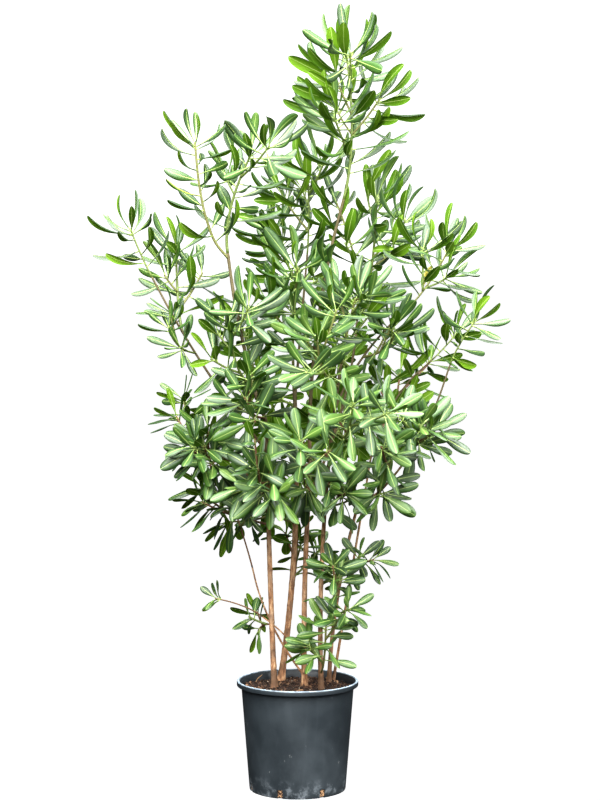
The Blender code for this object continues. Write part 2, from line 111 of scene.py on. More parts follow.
# Stems: name, foot (x, y), tip (x, y, z), bow of the middle (x, y), radius at the foot and the tip
STEMS = (
    ("stem_left", (-0.057, -0.005), (-0.075, -0.100, 0.900), (-0.002, 0.000), 0.0072, 0.0050),
    ("stem_back", (-0.042, 0.090), (-0.010, 0.100, 1.020), (0.020, -0.025), 0.0083, 0.0048),
    ("stem_middle", (0.017, 0.015), (0.031, 0.030, 0.777), (-0.006, -0.010), 0.0070, 0.0056),
    ("stem_front", (0.058, -0.020), (0.105, -0.100, 1.060), (-0.018, 0.000), 0.0064, 0.0036),
    ("stem_right", (0.078, 0.066), (0.143, -0.010, 0.690), (-0.012, 0.000), 0.0054, 0.0036),
    ("stem_far_right", (0.089, 0.082), (0.179, 0.070, 0.800), (0.000, 0.000), 0.0036, 0.0026),
    ("stem_thin_left", (0.031, 0.050), (-0.111, -0.020, 0.555), (-0.022, 0.005), 0.0030, 0.0020),
)

# Boughs: name, parent, share of the parent's length, tip (x, y, z), bow (x, y, z), radii
BOUGHS = (
    ("bough_leader", "stem_middle", 1.0, (0.113, 0.040, 1.455), (-0.027, 0.0, 0.0), 0.0050, 0.0036),
    ("bough_middle_right", "stem_middle", 0.90, (0.150, 0.120, 1.205), (0.028, 0.0, 0.0), 0.0040, 0.0027),
    ("bough_left_top", "stem_left", 1.0, (-0.168, -0.070, 1.325), (-0.010, 0.0, 0.0), 0.0049, 0.0038),
    ("bough_far_left", "stem_left", 0.92, (-0.350, -0.080, 1.268), (-0.010, 0.0, -0.01), 0.0036, 0.0023),
    ("bough_back_top", "stem_back", 0.92, (0.024, 0.170, 1.316), (0.0, 0.01, 0.0), 0.0036, 0.0025),
    ("bough_right_top", "stem_front", 0.87, (0.268, -0.040, 1.192), (-0.016, 0.0, 0.008), 0.0032, 0.0024),
    ("bough_right_middle", "stem_far_right", 1.0, (0.334, 0.100, 1.057), (-0.020, 0.0, 0.02), 0.0026, 0.0020),
    ("bough_right_low", "stem_right", 1.0, (0.369, -0.060, 1.055), (0.022, 0.0, -0.030), 0.0032, 0.0021),
    ("bough_left_middle", "stem_middle", 0.80, (-0.179, -0.060, 0.790), (0.0, 0.0, 0.0), 0.0028, 0.0020),
    ("twig_low_left", "stem_middle", 0.14, (-0.086, 0.000, 0.429), (0.0, -0.012, 0.010), 0.0022, 0.0019),
)

# Masses of foliage: name, limb, share of its length, tip of the mass's stem (x, y, z),
# number of side shoots, the way the first of them leans (0 is right, 90 is back), length of a leaf
MASSES = (
    ("leaves_top", "bough_leader", 1.0, (0.120, 0.040, 1.803), 4, 222, 0.147),
    ("leaves_left_peak", "bough_left_top", 1.0, (-0.111, -0.080, 1.563), 2, 160, 0.132),
    ("leaves_left_high", "bough_left_top", 0.97, (-0.245, -0.100, 1.591), 0, 0, 0.114),
    ("leaves_left_upright", "bough_far_left", 0.70, (-0.295, -0.020, 1.337), 1, 20, 0.118),
    ("leaves_far_left", "bough_far_left", 1.0, (-0.402, -0.080, 1.385), 0, 0, 0.114),
    ("leaves_left_outer", "bough_far_left", 0.58, (-0.306, -0.160, 1.152), 1, 300, 0.086),
    ("leaves_left_inner", "bough_left_top", 0.24, (-0.165, -0.160, 1.171), 2, 180, 0.120),
    ("leaves_centre_high", "bough_back_top", 1.0, (0.026, 0.180, 1.515), 2, 180, 0.132),
    ("leaves_centre", "stem_back", 1.0, (0.000, -0.040, 1.290), 2, 200, 0.132),
    ("leaves_centre_right", "bough_middle_right", 1.0, (0.098, 0.170, 1.445), 2, 150, 0.132),
    ("leaves_right_peak", "bough_middle_right", 0.90, (0.195, 0.060, 1.460), 3, 200, 0.132),
    ("leaves_front_high", "stem_front", 1.0, (0.139, -0.140, 1.220), 3, 20, 0.126),
    ("leaves_right_high", "bough_right_top", 1.0, (0.369, -0.040, 1.340), 1, 180, 0.122),
    ("leaves_right_back", "bough_right_middle", 1.0, (0.397, 0.120, 1.123), 0, 0, 0.112),
    ("leaves_far_right", "bough_right_low", 1.0, (0.430, -0.080, 1.165), 0, 0, 0.118),
    ("leaves_right_low", "bough_right_low", 0.50, (0.291, -0.180, 0.920), 2, 30, 0.112),
    ("leaves_right_inner", "bough_right_top", 0.46, (0.236, -0.110, 1.140), 2, 90, 0.116),
    ("leaves_left_wide", "stem_left", 0.85, (-0.297, 0.000, 0.925), 2, 230, 0.100),
    ("leaves_left_middle", "bough_left_middle", 1.0, (-0.223, -0.140, 0.867), 3, 300, 0.110),
    ("leaves_left_front", "stem_left", 0.76, (-0.093, -0.260, 0.824), 3, 180, 0.110),
    ("leaves_left_shoulder", "bough_left_top", 0.07, (-0.124, -0.230, 0.990), 3, 160, 0.114),
    ("leaves_left_low", "stem_left", 0.64, (-0.239, 0.060, 0.745), 2, 200, 0.110),
    ("leaves_thin_stem", "stem_thin_left", 1.0, (-0.158, -0.050, 0.716), 1, 0, 0.086),
    ("leaves_low_twig", "twig_low_left", 1.0, (-0.203, 0.000, 0.475), 0, 0, 0.076),
    ("leaves_low_cluster", "twig_low_left", 0.80, (-0.098, 0.045, 0.385), 1, 200, 0.082),
    ("leaves_right_foot", "stem_far_right", 0.55, (0.150, -0.030, 0.585), 1, 0, 0.088),
    ("leaves_stem_shoot", "stem_front", 0.20, (0.100, -0.090, 0.545), 3, 330, 0.095),
    ("leaves_stem_back", "stem_back", 0.30, (0.000, 0.130, 0.620), 3, 0, 0.098),
    ("leaves_sucker", "stem_front", 0.05, (0.069, -0.090, 0.425), 2, 180, 0.098),
    ("leaves_young", "stem_front", 0.56, (0.104, -0.150, 0.775), 3, 0, 0.105),
    ("leaves_front_middle", "stem_middle", 0.93, (0.006, -0.290, 0.896), 3, 60, 0.112),
    ("leaves_front_right", "stem_front", 0.74, (0.130, -0.320, 0.985), 3, 60, 0.116),
    ("leaves_front_centre", "stem_front", 0.93, (0.045, -0.240, 1.130), 3, 120, 0.120),
    ("leaves_front_low_right", "bough_right_low", 0.10, (0.225, -0.200, 0.875), 2, 90, 0.110),
    ("leaves_back_middle", "stem_back", 0.68, (-0.020, 0.330, 0.861), 3, 90, 0.112),
    ("leaves_back_right", "bough_middle_right", 0.30, (0.123, 0.350, 0.930), 3, 45, 0.112),
    ("leaves_back_left", "stem_back", 0.90, (-0.130, 0.280, 1.060), 2, 135, 0.118),
    ("leaves_back_high", "bough_middle_right", 0.66, (0.080, 0.300, 1.160), 3, 90, 0.120),
    ("leaves_back_far_right", "bough_right_middle", 0.30, (0.261, 0.270, 1.010), 3, 60, 0.110),
    ("leaves_back_top", "bough_back_top", 0.80, (-0.040, 0.270, 1.350), 2, 110, 0.126),
    ("leaves_back_low_left", "stem_back", 0.52, (-0.160, 0.240, 0.770), 3, 150, 0.110),
)

# Parts of the foliage: name and how many masses of the table it takes, in turn
FOLIAGE = (
    ("left_high", 7),
    ("right_high", 6),
    ("right", 4),
    ("left", 6),
    ("low", 7),
    ("front", 4),
    ("back", 7),
)


# Curves, as in the source


def bowed_line(start, end, bow, count):
    """Points on a curve from start to end whose middle is moved by bow."""
    control = (start + end) / 2 + bow * 2
    shares = [index / (count - 1) for index in range(count)]
    return [start * (1 - s) ** 2 + control * (2 * (1 - s) * s) + end * s**2 for s in shares]


def steps_for(length):
    return max(FEWEST_RINGS, round(length / RING_EVERY) + 1)


def length_of(axis):
    return sum((b - a).length for a, b in zip(axis, axis[1:]))


def place_along(axis, share):
    """The point at a share of an axis's length, and the direction there."""
    lengths = [(b - a).length for a, b in zip(axis, axis[1:])]
    left = share * sum(lengths)
    for index, length in enumerate(lengths):
        if left <= length or index == len(lengths) - 1:
            ahead = axis[index + 1] - axis[index]
            return axis[index] + ahead * min(left / length, 1), ahead.normalized()
        left -= length


def leaning(ahead, angle, turn):
    """A direction that leans from ahead by an angle. A turn of 0 is to the right, a quarter to the back."""
    across = (Vector((1, 0, 0)) - ahead * ahead.x).normalized()
    spoke = Quaternion(ahead, turn) @ across
    return (ahead * math.cos(angle) + spoke * math.sin(angle)).normalized()


def stem_axis(foot, tip, bow):
    start = Vector((*foot, SOIL_TOP + GAP))
    end = Vector(tip)
    axis = bowed_line(start, end, Vector((*bow, 0)), steps_for((end - start).length) + 1)
    axis.insert(1, axis[0].lerp(axis[1], FLARE_HEIGHT / (axis[1] - axis[0]).length))
    return axis


def bough_axis(parent, share, tip, bow, base_radius):
    place, ahead = place_along(parent, share)
    start = place + ahead * GAP if share == 1.0 else place
    end = Vector(tip)
    axis = bowed_line(start, end, Vector(bow), steps_for((end - start).length))
    if share == 1.0:
        axis.insert(1, start + ahead * base_radius * NECK)
    return axis


def mass_stem(limb, share, tip):
    """The axis of a mass's own stem, which goes on from its limb and then turns to the light."""
    place, ahead = place_along(limb, share)
    end = Vector(tip)
    if share == 1.0:
        start = place + ahead * GAP
        first = start + ahead * STEM_FIRST
        control = start + ahead * (end - start).length * STEM_STRAIGHT
        middle = (start + end) / 2
        rest = bowed_line(start, end, (control - middle) / 2, TWIG_RINGS)
        return [start, first] + rest[1:]
    sag = Vector((end.x - place.x, end.y - place.y, place.z - end.z))
    return bowed_line(place, end, sag * STEM_BOW, TWIG_RINGS)


def side_shoots(stem, count, first_turn, chance):
    """Axes of the side shoots: they leave the stem in turn by the golden angle and rise."""
    reach = length_of(stem)
    shoots = []
    for number in range(count):
        share = SHOOT_FIRST + (SHOOT_LAST - SHOOT_FIRST) * number / max(count - 1, 1)
        place, ahead = place_along(stem, share)
        turn = math.radians(first_turn) + GOLDEN_ANGLE * number
        outward = leaning(ahead, SHOOT_ANGLE * chance.uniform(*SHOOT_ANGLES), turn)
        length = min(reach * SHOOT_SHARE, SHOOT_LONGEST) * chance.uniform(*SHOOT_LENGTHS)
        length = max(length, SHOOT_SHORTEST)
        end = place + outward * length + UP * length * SHOOT_LIFT
        shoots.append(bowed_line(place, end, -UP * length * SHOOT_SAG, SHOOT_RINGS))
    return shoots


class Space:
    """Which mass's stem is nearest to a point, so that each mass keeps to its own space."""

    def __init__(self, stems):
        self.trees = []
        for own in range(len(stems)):
            others = stems[:own] + stems[own + 1 :]
            self.trees.append((self.tree([stems[own]]), self.tree(others)))

    @staticmethod
    def tree(stems):
        samples = []
        for stem in stems:
            count = max(2, round(length_of(stem) / SPACE_STEP))
            samples += [place_along(stem, index / count)[0] for index in range(1, count + 1)]
        tree = KDTree(len(samples))
        for index, sample in enumerate(samples):
            tree.insert(sample, index)
        tree.balance()
        return tree

    def holds(self, own, points, slack):
        """Whether each point is nearer to its own mass's stem than to the others, give or take slack."""
        near, others = self.trees[own]
        return all(near.find(p)[2] < others.find(p)[2] + slack for p in points)


# Smooth tubes


def smooth_path(axis, spacing):
    """Evenly spaced points on a smooth curve through an axis's points."""
    points = np.array([tuple(point) for point in axis])
    steps = np.linalg.norm(np.diff(points, axis=0), axis=1)
    along = np.concatenate([[0.0], np.cumsum(steps)])
    slopes = np.gradient(points, along, axis=0)
    where = np.linspace(0, along[-1], max(3, round(along[-1] / spacing) + 1))
    index = np.clip(np.searchsorted(along, where, side="right") - 1, 0, len(steps) - 1)
    width = steps[index][:, None]
    share = ((where - along[index]) / steps[index])[:, None]
    start, end = points[index], points[index + 1]
    start_pull = slopes[index] * width
    end_pull = slopes[index + 1] * width
    square, cube = share**2, share**3
    curve = start * (2 * cube - 3 * square + 1) + start_pull * (cube - 2 * square + share)
    curve += end * (3 * square - 2 * cube) + end_pull * (cube - square)
    return curve, where


def ring_frames(path):
    """For each point of a path, two directions square to it that don't turn round it."""
    ahead = np.gradient(path, axis=0)
    ahead /= np.linalg.norm(ahead, axis=1)[:, None]
    across = np.array((1.0, 0.1, 0.0))
    spokes = np.empty_like(path)
    for index, forward in enumerate(ahead):
        across = across - forward * across.dot(forward)
        across /= np.linalg.norm(across)
        spokes[index] = across
    return spokes, np.cross(ahead, spokes)


def tube_grid(path, radii, sides):
    """Points of a tube, as rings of a given number of sides. There is a radius for each point."""
    angles = np.arange(sides) * math.tau / sides
    spokes, others = ring_frames(path)
    outward = spokes[:, None] * np.cos(angles)[None, :, None]
    outward = outward + others[:, None] * np.sin(angles)[None, :, None]
    return path[:, None] + outward * radii[:, :, None]


def tube_faces(rings, sides):
    """Faces of a closed tube, from its first ring to its last."""
    faces = []
    for ring in range(rings - 1):
        for side in range(sides):
            low = ring * sides + side
            next_low = ring * sides + (side + 1) % sides
            faces.append((low, next_low, next_low + sides, low + sides))
    faces.append(tuple(reversed(range(sides))))
    faces.append(tuple(range((rings - 1) * sides, rings * sides)))
    return faces


def make_mesh(name, points, faces, materials, kinds):
    """A smooth mesh. For each of its faces, kinds gives the number of its material."""
    mesh = bpy.data.meshes.new(name)
    mesh.from_pydata(points.tolist(), [], faces)
    for material in materials:
        mesh.materials.append(material)
    mesh.polygons.foreach_set("material_index", kinds)
    mesh.shade_smooth()
    return mesh


def place_in_scene(name, data):
    thing = bpy.data.objects.new(name, data)
    bpy.context.scene.collection.objects.link(thing)
    return thing


class Batch:
    """Many closed shapes gathered into one mesh, each with a material index and a point value."""

    def __init__(self):
        self.points = []
        self.faces = []
        self.kinds = []
        self.values = []
        self.count = 0

    def add(self, points, faces, kind=0, values=None):
        points = np.asarray(points, float).reshape(-1, 3)
        self.points.append(points)
        self.faces += [tuple(self.count + corner for corner in face) for face in faces]
        self.kinds += [kind] * len(faces)
        self.values.append(np.zeros(len(points)) if values is None else np.asarray(values, float).ravel())
        self.count += len(points)

    def add_tube(self, path, radii, sides, kind):
        grid = tube_grid(path, np.repeat(radii[:, None], sides, axis=1), sides)
        self.add(grid, tube_faces(len(path), sides), kind)

    def make(self, name, materials, value_name=None, sharp=None):
        mesh = make_mesh(name, np.concatenate(self.points), self.faces, materials, self.kinds)
        if value_name:
            layer = mesh.attributes.new(value_name, "FLOAT", "POINT")
            layer.data.foreach_set("value", np.concatenate(self.values))
        if sharp:
            mesh.set_sharp_from_angle(angle=math.radians(sharp))
        return place_in_scene(name, mesh)


# Materials


def linear(level):
    """The light of one channel, from the 0 to 255 level that a screen shows."""
    return ((level / 255 + 0.055) / 1.055) ** 2.4 if level > 10 else level / 3295


def screen(red, green, blue):
    return linear(red), linear(green), linear(blue), 1.0


class Finish:
    """A material in the making. Its nodes are added by short calls that give back their output."""

    def __init__(self, name, colour, roughness):
        self.material = bpy.data.materials.new(name)
        self.material.use_nodes = True
        self.material.diffuse_color = colour
        self.tree = self.material.node_tree
        self.shader = self.tree.nodes["Principled BSDF"]
        self.set({"Base Color": colour, "Roughness": roughness})

    def set(self, inputs, node=None):
        """Set inputs of a node, or of the shader, to values or to the outputs of other nodes."""
        node = node or self.shader
        for name, value in inputs.items():
            if isinstance(value, bpy.types.NodeSocket):
                self.tree.links.new(value, node.inputs[name])
            else:
                node.inputs[name].default_value = value

    def node(self, kind, inputs, output=0, **settings):
        made = self.tree.nodes.new("ShaderNode" + kind)
        for name, value in settings.items():
            setattr(made, name, value)
        self.set(inputs, made)
        return made.outputs[output]

    @functools.cached_property
    def place(self):
        return self.node("TexCoord", {}, "Object")

    def height(self):
        return self.node("SeparateXYZ", {0: self.place}, 2)

    def math(self, operation, first, second=0.0):
        return self.node("Math", {0: first, 1: second}, operation=operation)

    def plus(self, first, second):
        return self.math("ADD", first, second)

    def times(self, first, second):
        return self.math("MULTIPLY", first, second)

    def noise(self, scale, detail, roughness=0.5, upright=1.0):
        """Cloudy noise, drawn out along the height where upright is less than 1."""
        place = self.place
        if upright < 1:
            place = self.node("Mapping", {"Vector": place, "Scale": (1.0, 1.0, upright)})
        inputs = {"Vector": place, "Scale": scale, "Detail": detail, "Roughness": roughness}
        return self.node("TexNoise", inputs)

    def cells(self, scale, feature="F1"):
        return self.node("TexVoronoi", {"Vector": self.place, "Scale": scale}, "Distance", feature=feature)

    def ramp(self, value, low, high, start=0.0, end=1.0):
        """Start where the value is low, end where it is high, and evenly between the two."""
        return self.node("MapRange", {0: value, 1: low, 2: high, 3: start, 4: end})

    def tones(self, value, low, high, *between):
        """A ramp of colours by value, each given as its place and its colour."""
        made = self.tree.nodes.new("ShaderNodeValToRGB")
        self.set({0: value}, made)
        for element, (place, colour) in zip(made.color_ramp.elements, (low, high)):
            element.position = place
            element.color = colour
        for place, colour in between:
            made.color_ramp.elements.new(place).color = colour
        return made.outputs[0]

    def mix(self, share, first, second):
        return self.node("Mix", {0: share, 6: first, 7: second}, 2, data_type="RGBA")

    def bump(self, height, strength, distance):
        inputs = {"Strength": strength, "Distance": distance, "Height": height}
        self.set({"Normal": self.node("Bump", inputs)})


SIDE_VEINS = 13.0
VEIN_SLOPE = 5.0
COAT_ROUGHNESS = 0.58
COAT_IOR = 1.7
LEAF_SPECULAR = 0.3


def leaf_blade(name, colour, roughness, coat):
    """A leathery leaf: faint side veins, a fine net between them, and an uneven waxy gloss."""
    leaf = Finish(name, colour, roughness)
    leaf.set({"Coat Weight": coat, "Coat Roughness": COAT_ROUGHNESS, "Coat IOR": COAT_IOR})
    leaf.set({"Specular IOR Level": LEAF_SPECULAR})
    uv = leaf.node("UVMap", {}, uv_map="leaf")
    across = leaf.node("SeparateXYZ", {0: uv}, 0)
    along = leaf.node("SeparateXYZ", {0: uv}, 1)
    aside = leaf.math("ABSOLUTE", leaf.math("SUBTRACT", across, 0.5))
    phase = leaf.math("SUBTRACT", leaf.times(along, SIDE_VEINS), leaf.times(aside, VEIN_SLOPE))
    wave = leaf.math("ABSOLUTE", leaf.math("SINE", leaf.times(phase, math.pi)))
    veins = leaf.math("POWER", wave, 0.9)
    net = leaf.cells(420.0, feature="DISTANCE_TO_EDGE")
    leaf.bump(leaf.plus(veins, leaf.times(net, 0.5)), 0.20, 0.0006)
    uneven = leaf.ramp(leaf.noise(60.0, 3.0), 0.3, 0.7, roughness - 0.08, roughness + 0.10)
    leaf.set({"Roughness": uneven})
    return leaf.material


def bark_material():
    """Tan to grey-brown bark with long streaks, rough flecks and darker leaf scars."""
    bark = Finish("bark_relief", screen(150, 108, 72), 0.82)
    streaks = bark.noise(150.0, 5.0, roughness=0.65, upright=0.25)
    patches = bark.noise(22.0, 3.0)
    flecks = bark.cells(170.0)
    height = bark.height()
    dark, pale, tan = screen(90, 60, 42), screen(216, 180, 142), screen(166, 124, 90)
    colour = bark.tones(streaks, (0.30, dark), (0.68, pale), (0.5, tan))
    # Weathered patches, then leaf scars, then small flecks
    colour = bark.mix(bark.ramp(patches, 0.45, 0.70, 0.0, 0.55), colour, screen(160, 138, 116))
    scar = bark.node("Attribute", {}, "Fac", attribute_name="scar", attribute_type="GEOMETRY")
    colour = bark.mix(scar, colour, screen(74, 47, 34))
    colour = bark.mix(bark.ramp(flecks, 0.12, 0.26, 0.75, 0.0), colour, screen(92, 66, 48))
    # Patches near the soil are darkened as painted shade
    painted_soil_shade = bark.times(bark.ramp(height, 0.25, 0.45, 0.8, 0.0), bark.ramp(patches, 0.42, 0.58))
    colour = bark.mix(painted_soil_shade, colour, screen(82, 58, 40))
    # Younger bark, inside the crown, is darker and greener
    colour = bark.mix(bark.ramp(height, 0.50, 0.95, 0.0, 0.95), colour, screen(78, 72, 46))
    bark.set({"Base Color": colour})
    bark.bump(bark.plus(streaks, bark.times(flecks, 0.6)), 0.55, 0.0009)
    return bark.material


def twig_material(name, colour, roughness):
    """A plain colour with a fine uneven grain, as young shoots, ribs and bits of bark have."""
    twig = Finish(name, colour, roughness)
    twig.bump(twig.noise(420.0, 3.0), 0.35, 0.0005)
    return twig.material


def pot_material():
    """Charcoal nursery plastic: slightly pitted, scuffed, and dusty towards the foot."""
    pot = Finish("pot_plastic", screen(44, 50, 54), 0.5)
    height = pot.height()
    scuffs = pot.noise(34.0, 7.0, roughness=0.72)
    runs = pot.noise(60.0, 4.0, upright=0.12)
    # A veil of dust, thicker towards the foot, with faint streaks
    cloud = pot.ramp(pot.noise(9.0, 5.0, roughness=0.6), 0.42, 0.70)
    dusty = pot.times(pot.ramp(height, 0.0, 0.26, 0.42, 0.16), cloud)
    veil = pot.plus(dusty, pot.ramp(runs, 0.55, 0.75, 0.0, 0.09))
    colour = pot.mix(veil, screen(40, 46, 50), screen(78, 86, 91))
    marks = pot.times(pot.ramp(scuffs, 0.66, 0.72, 0.0, 0.7), pot.ramp(height, 0.02, 0.26, 1.0, 0.25))
    colour = pot.mix(marks, colour, screen(168, 172, 170))
    # The crest of the lip gets a pale bluish painted highlight, uneven along the streaks, and dried splashes
    # whiten the wall round the slots
    crest_highlight_band = pot.ramp(height, POT_HEIGHT - 0.0022, POT_HEIGHT - 0.0004)
    painted_crest_highlight = pot.times(crest_highlight_band, pot.ramp(runs, 0.30, 0.55, 0.25, 0.9))
    colour = pot.mix(painted_crest_highlight, colour, screen(168, 186, 200))
    splashed = pot.times(pot.ramp(height, 0.012, 0.050, 1.0, 0.0), pot.ramp(scuffs, 0.50, 0.66, 0.0, 0.55))
    colour = pot.mix(splashed, colour, screen(150, 158, 164))
    pot.set({"Base Color": colour, "Roughness": pot.ramp(veil, 0.0, 0.8, 0.42, 0.78)})
    pot.bump(pot.plus(pot.noise(900.0, 2.0), pot.times(scuffs, 1.5)), 0.22, 0.0005)
    return pot.material


def soil_material():
    """Dark crumbs, with tan roots near the pot's floor, where the drain slots show the mix."""
    soil = Finish("soil_crumb", screen(62, 42, 30), 0.95)
    crumbs = soil.noise(170.0, 8.0, roughness=0.75)
    colour = soil.tones(crumbs, (0.36, screen(32, 22, 17)), (0.68, screen(88, 64, 48)))
    deep = soil.ramp(soil.height(), 0.030, 0.034, 1.0, 0.0)
    threads = soil.ramp(soil.noise(240.0, 2.0), 0.47, 0.58)
    colour = soil.mix(soil.times(deep, threads), colour, screen(196, 156, 118))
    soil.set({"Base Color": colour})
    soil.bump(crumbs, 0.9, 0.003)
    return soil.material


# Trunk and boughs

LIMB_SIDES = 18
LIMB_SPACING = 0.005
BOUGH_SEEDS = 100
# Relief of the bark: how fine it is round a limb, along it and from limb to limb, and its height
RIDGES = (2.2, 30, 50, 0.045)
GRAIN = (5, 160, 70, 0.035)
FIRST_SCAR = 0.01
SCAR_EVERY = 0.021
SCAR_STEPS = (0.6, 1.6)
SCAR_SIZES = (0.5, 1.2)
SCAR_HALF_HEIGHT = 0.0022
SCAR_HALF_ANGLE = 0.55
SCAR_SWELLING = 0.17
COLLAR = 0.55
COLLAR_LENGTH = 0.011
FIRST_NODE = 0.05
NODE_EVERY = 0.115
NODE_STEPS = (0.7, 1.3)
NODE_SWELLING = 0.07
NODE_LENGTH = 0.006


def limb_radii(where, total, foot, tip, flared, collared):
    radii = foot + (tip - foot) * where / total
    if flared:
        radii = radii * (1 + FLARE * np.exp(-where / FLARE_HEIGHT))
    if collared:
        radii = radii * (1 + COLLAR * np.exp(-where / COLLAR_LENGTH))
    return radii


def relief_at(layer, angle, length, offset):
    around, along, apart, height = layer
    place = (math.cos(angle) * around, math.sin(angle) * around, length * along + offset * apart)
    return noise.noise(Vector(place)) * height


def bark_relief(path, where, radii, chance):
    """Radius at each point of a limb with its ridges, leaf scars and yearly swellings."""
    angles = np.arange(LIMB_SIDES) * math.tau / LIMB_SIDES
    shape = np.ones((len(path), LIMB_SIDES))
    scar = np.zeros((len(path), LIMB_SIDES))
    for ring, (centre, length) in enumerate(zip(path, where)):
        for side, angle in enumerate(angles):
            ridge = relief_at(RIDGES, angle, length, centre[0])
            shape[ring, side] += ridge + relief_at(GRAIN, angle, length, centre[1])
    turn = chance.uniform(0, math.tau)
    place = chance.uniform(FIRST_SCAR, SCAR_EVERY)
    while place < where[-1]:
        turn += GOLDEN_ANGLE
        aside = np.abs((angles - turn + math.pi) % math.tau - math.pi) / SCAR_HALF_ANGLE
        off = (where - place) / SCAR_HALF_HEIGHT
        mark = np.exp(-(off[:, None] ** 2)) * np.exp(-(aside[None, :] ** 2))
        size = chance.uniform(*SCAR_SIZES)
        shape += SCAR_SWELLING * size * mark
        scar = np.maximum(scar, mark * min(size, 1))
        place += SCAR_EVERY * chance.uniform(*SCAR_STEPS)
    place = chance.uniform(FIRST_NODE, NODE_EVERY)
    while place < where[-1]:
        shape += NODE_SWELLING * np.exp(-(((where - place) / NODE_LENGTH) ** 2))[:, None]
        place += NODE_EVERY * chance.uniform(*NODE_STEPS)
    return shape * radii[:, None], scar


def add_limb(batch, axis, foot, tip, flared, collared, seed):
    path, where = smooth_path(axis, LIMB_SPACING)
    radii = limb_radii(where, where[-1], foot, tip, flared, collared)
    relief, scar = bark_relief(path, where, radii, random.Random(seed))
    batch.add(tube_grid(path, relief, LIMB_SIDES), tube_faces(len(path), LIMB_SIDES), 0, scar)


def grow_limbs():
    """Axes of every stem and bough by name."""
    axes = {}
    for name, foot, tip, bow, _, _ in STEMS:
        axes[name] = stem_axis(foot, tip, bow)
    for name, parent, share, tip, bow, base_radius, _ in BOUGHS:
        axes[name] = bough_axis(axes[parent], share, tip, bow, base_radius)
    return axes


def dress_limbs(axes):
    batch = Batch()
    for seed, (name, _, _, _, foot, tip) in enumerate(STEMS):
        add_limb(batch, axes[name], foot, tip, True, False, seed)
    for seed, (name, _, share, _, _, base, tip) in enumerate(BOUGHS):
        add_limb(batch, axes[name], base, tip, False, share < 1.0, BOUGH_SEEDS + seed)
    piece = batch.make("bark_of_limbs", [bark_material()], "scar")
    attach(piece, BODY)
    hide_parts(*axes)


# Shoots and leaves

Leaf = collections.namedtuple("Leaf", "root ahead top length slenderness order tint own")

# Heights where the crown's lower and upper kinds of growth are complete
LOW_HEIGHT = 0.75
HIGH_HEIGHT = 1.35
# Masses whose stems end below this are among the bare stems, and have fewer leaves
THIN_BELOW = 0.66

TWIG_SIDES = 8
TWIG_SPACING = 0.010
TWIG_BASE_RADIUS = 0.0038
TWIG_TIP_RADIUS = 0.0028
FINE_TIP_RADIUS = 0.0023
# Side and fine shoots: radius at the base, and number of leaves in full and among the bare stems
SIDE_SHOOT = (TWIG_TIP_RADIUS * 1.1, 13, 9)
FINE_SHOOT = (TWIG_TIP_RADIUS * 0.9, 9, 5)
STEM_TAPER = 0.9
SHOOT_SLACK = 0.01
# Which of the green, olive and brown kinds a twig may be
HIGH_KINDS = (0, 0, 1)
LOW_KINDS = (0, 1, 2, 2)

# The fine twig of a mass: where it starts and what its angle and length are multiplied by
FINE_FIRST = 0.22
FINE_SPREAD = 0.66
FINE_SHARES = (0.2, 0.8)
FINE_ANGLES = (0.9, 1.4)
FINE_LENGTH = 0.060
FINE_LENGTHS = (0.7, 1.2)
FINE_SAG = 0.05

# Values that grow: what they start from, and what the strongest mass or the highest leaf adds
BASE_SHARE = (0.62, 0.38)
STEM_LEAVES = (6, 28)
LENGTH_SHARE = (0.84, 0.14)
SLENDERNESS = (0.305, -0.093)
ARC = (0.45, 0.55)

FIRST_LEAF = 0.001
WHORL = 8
WHORL_SPACING = 0.0022
SPIRAL_SPACING = 0.0125
SPIRAL_STEPS = (0.75, 1.25)
LOWEST_SHARE = 0.12
LEAF_TRIES = 5
OPEN_ANGLE = math.radians(24)
LAST_ANGLE = math.radians(84)
OPENING = 0.6
ANGLE_RANGE = (0.75, 1.15)
TURN_RANGE = (-0.5, 0.5)
YOUNG = 3
YOUNG_LENGTH = 0.88
LEAF_LENGTHS = (0.82, 1.10)
LEAF_WIDTHS = (0.86, 1.12)
LEAF_GUARD = 0.0006
LEAF_STALK = 0.015
WEAK_LEAF = 0.085
STRONG_LEAF = 0.125
SPACE_SLACK = 0.035
ROOM_CELL = 0.16


def between(value, low, high):
    """How far a value is from low to high, from 0 to 1."""
    return min(max((value - low) / (high - low), 0), 1)


def grown(start_and_gain, share):
    return start_and_gain[0] + start_and_gain[1] * share


def fine_shoot(stem, chance):
    """A short twig on a mass's stem, which the source's coarser solids leave out."""
    turn = chance.uniform(0, math.tau) + GOLDEN_ANGLE
    place, ahead = place_along(stem, FINE_FIRST + FINE_SPREAD * chance.uniform(*FINE_SHARES))
    outward = leaning(ahead, SHOOT_ANGLE * chance.uniform(*FINE_ANGLES), turn)
    length = FINE_LENGTH * chance.uniform(*FINE_LENGTHS)
    end = place + outward * length + UP * length * SHOOT_LIFT
    return bowed_line(place, end, -UP * length * FINE_SAG, SHOOT_RINGS)


def leaf_shape(root, ahead, top, length, slenderness):
    """The source's coarse leaf, a little larger. It stands for a leaf while places are tried."""
    side = ahead.cross(top).normalized()
    top = side.cross(ahead).normalized()
    half = length * slenderness / 2 + LEAF_GUARD
    shoulder = root + ahead * length * LEAF_WIDEST
    points = [
        root - side * LEAF_GUARD - top * LEAF_GUARD,
        root + side * LEAF_GUARD - top * LEAF_GUARD,
        root + top * LEAF_GUARD,
        shoulder - side * half - top * LEAF_GUARD,
        shoulder + side * half - top * LEAF_GUARD,
        root + ahead * (length + LEAF_GUARD),
    ]
    faces = [(0, 2, 1), (0, 1, 4, 3), (3, 4, 5), (2, 0, 3), (2, 3, 5), (1, 2, 4), (2, 5, 4)]
    return points, faces


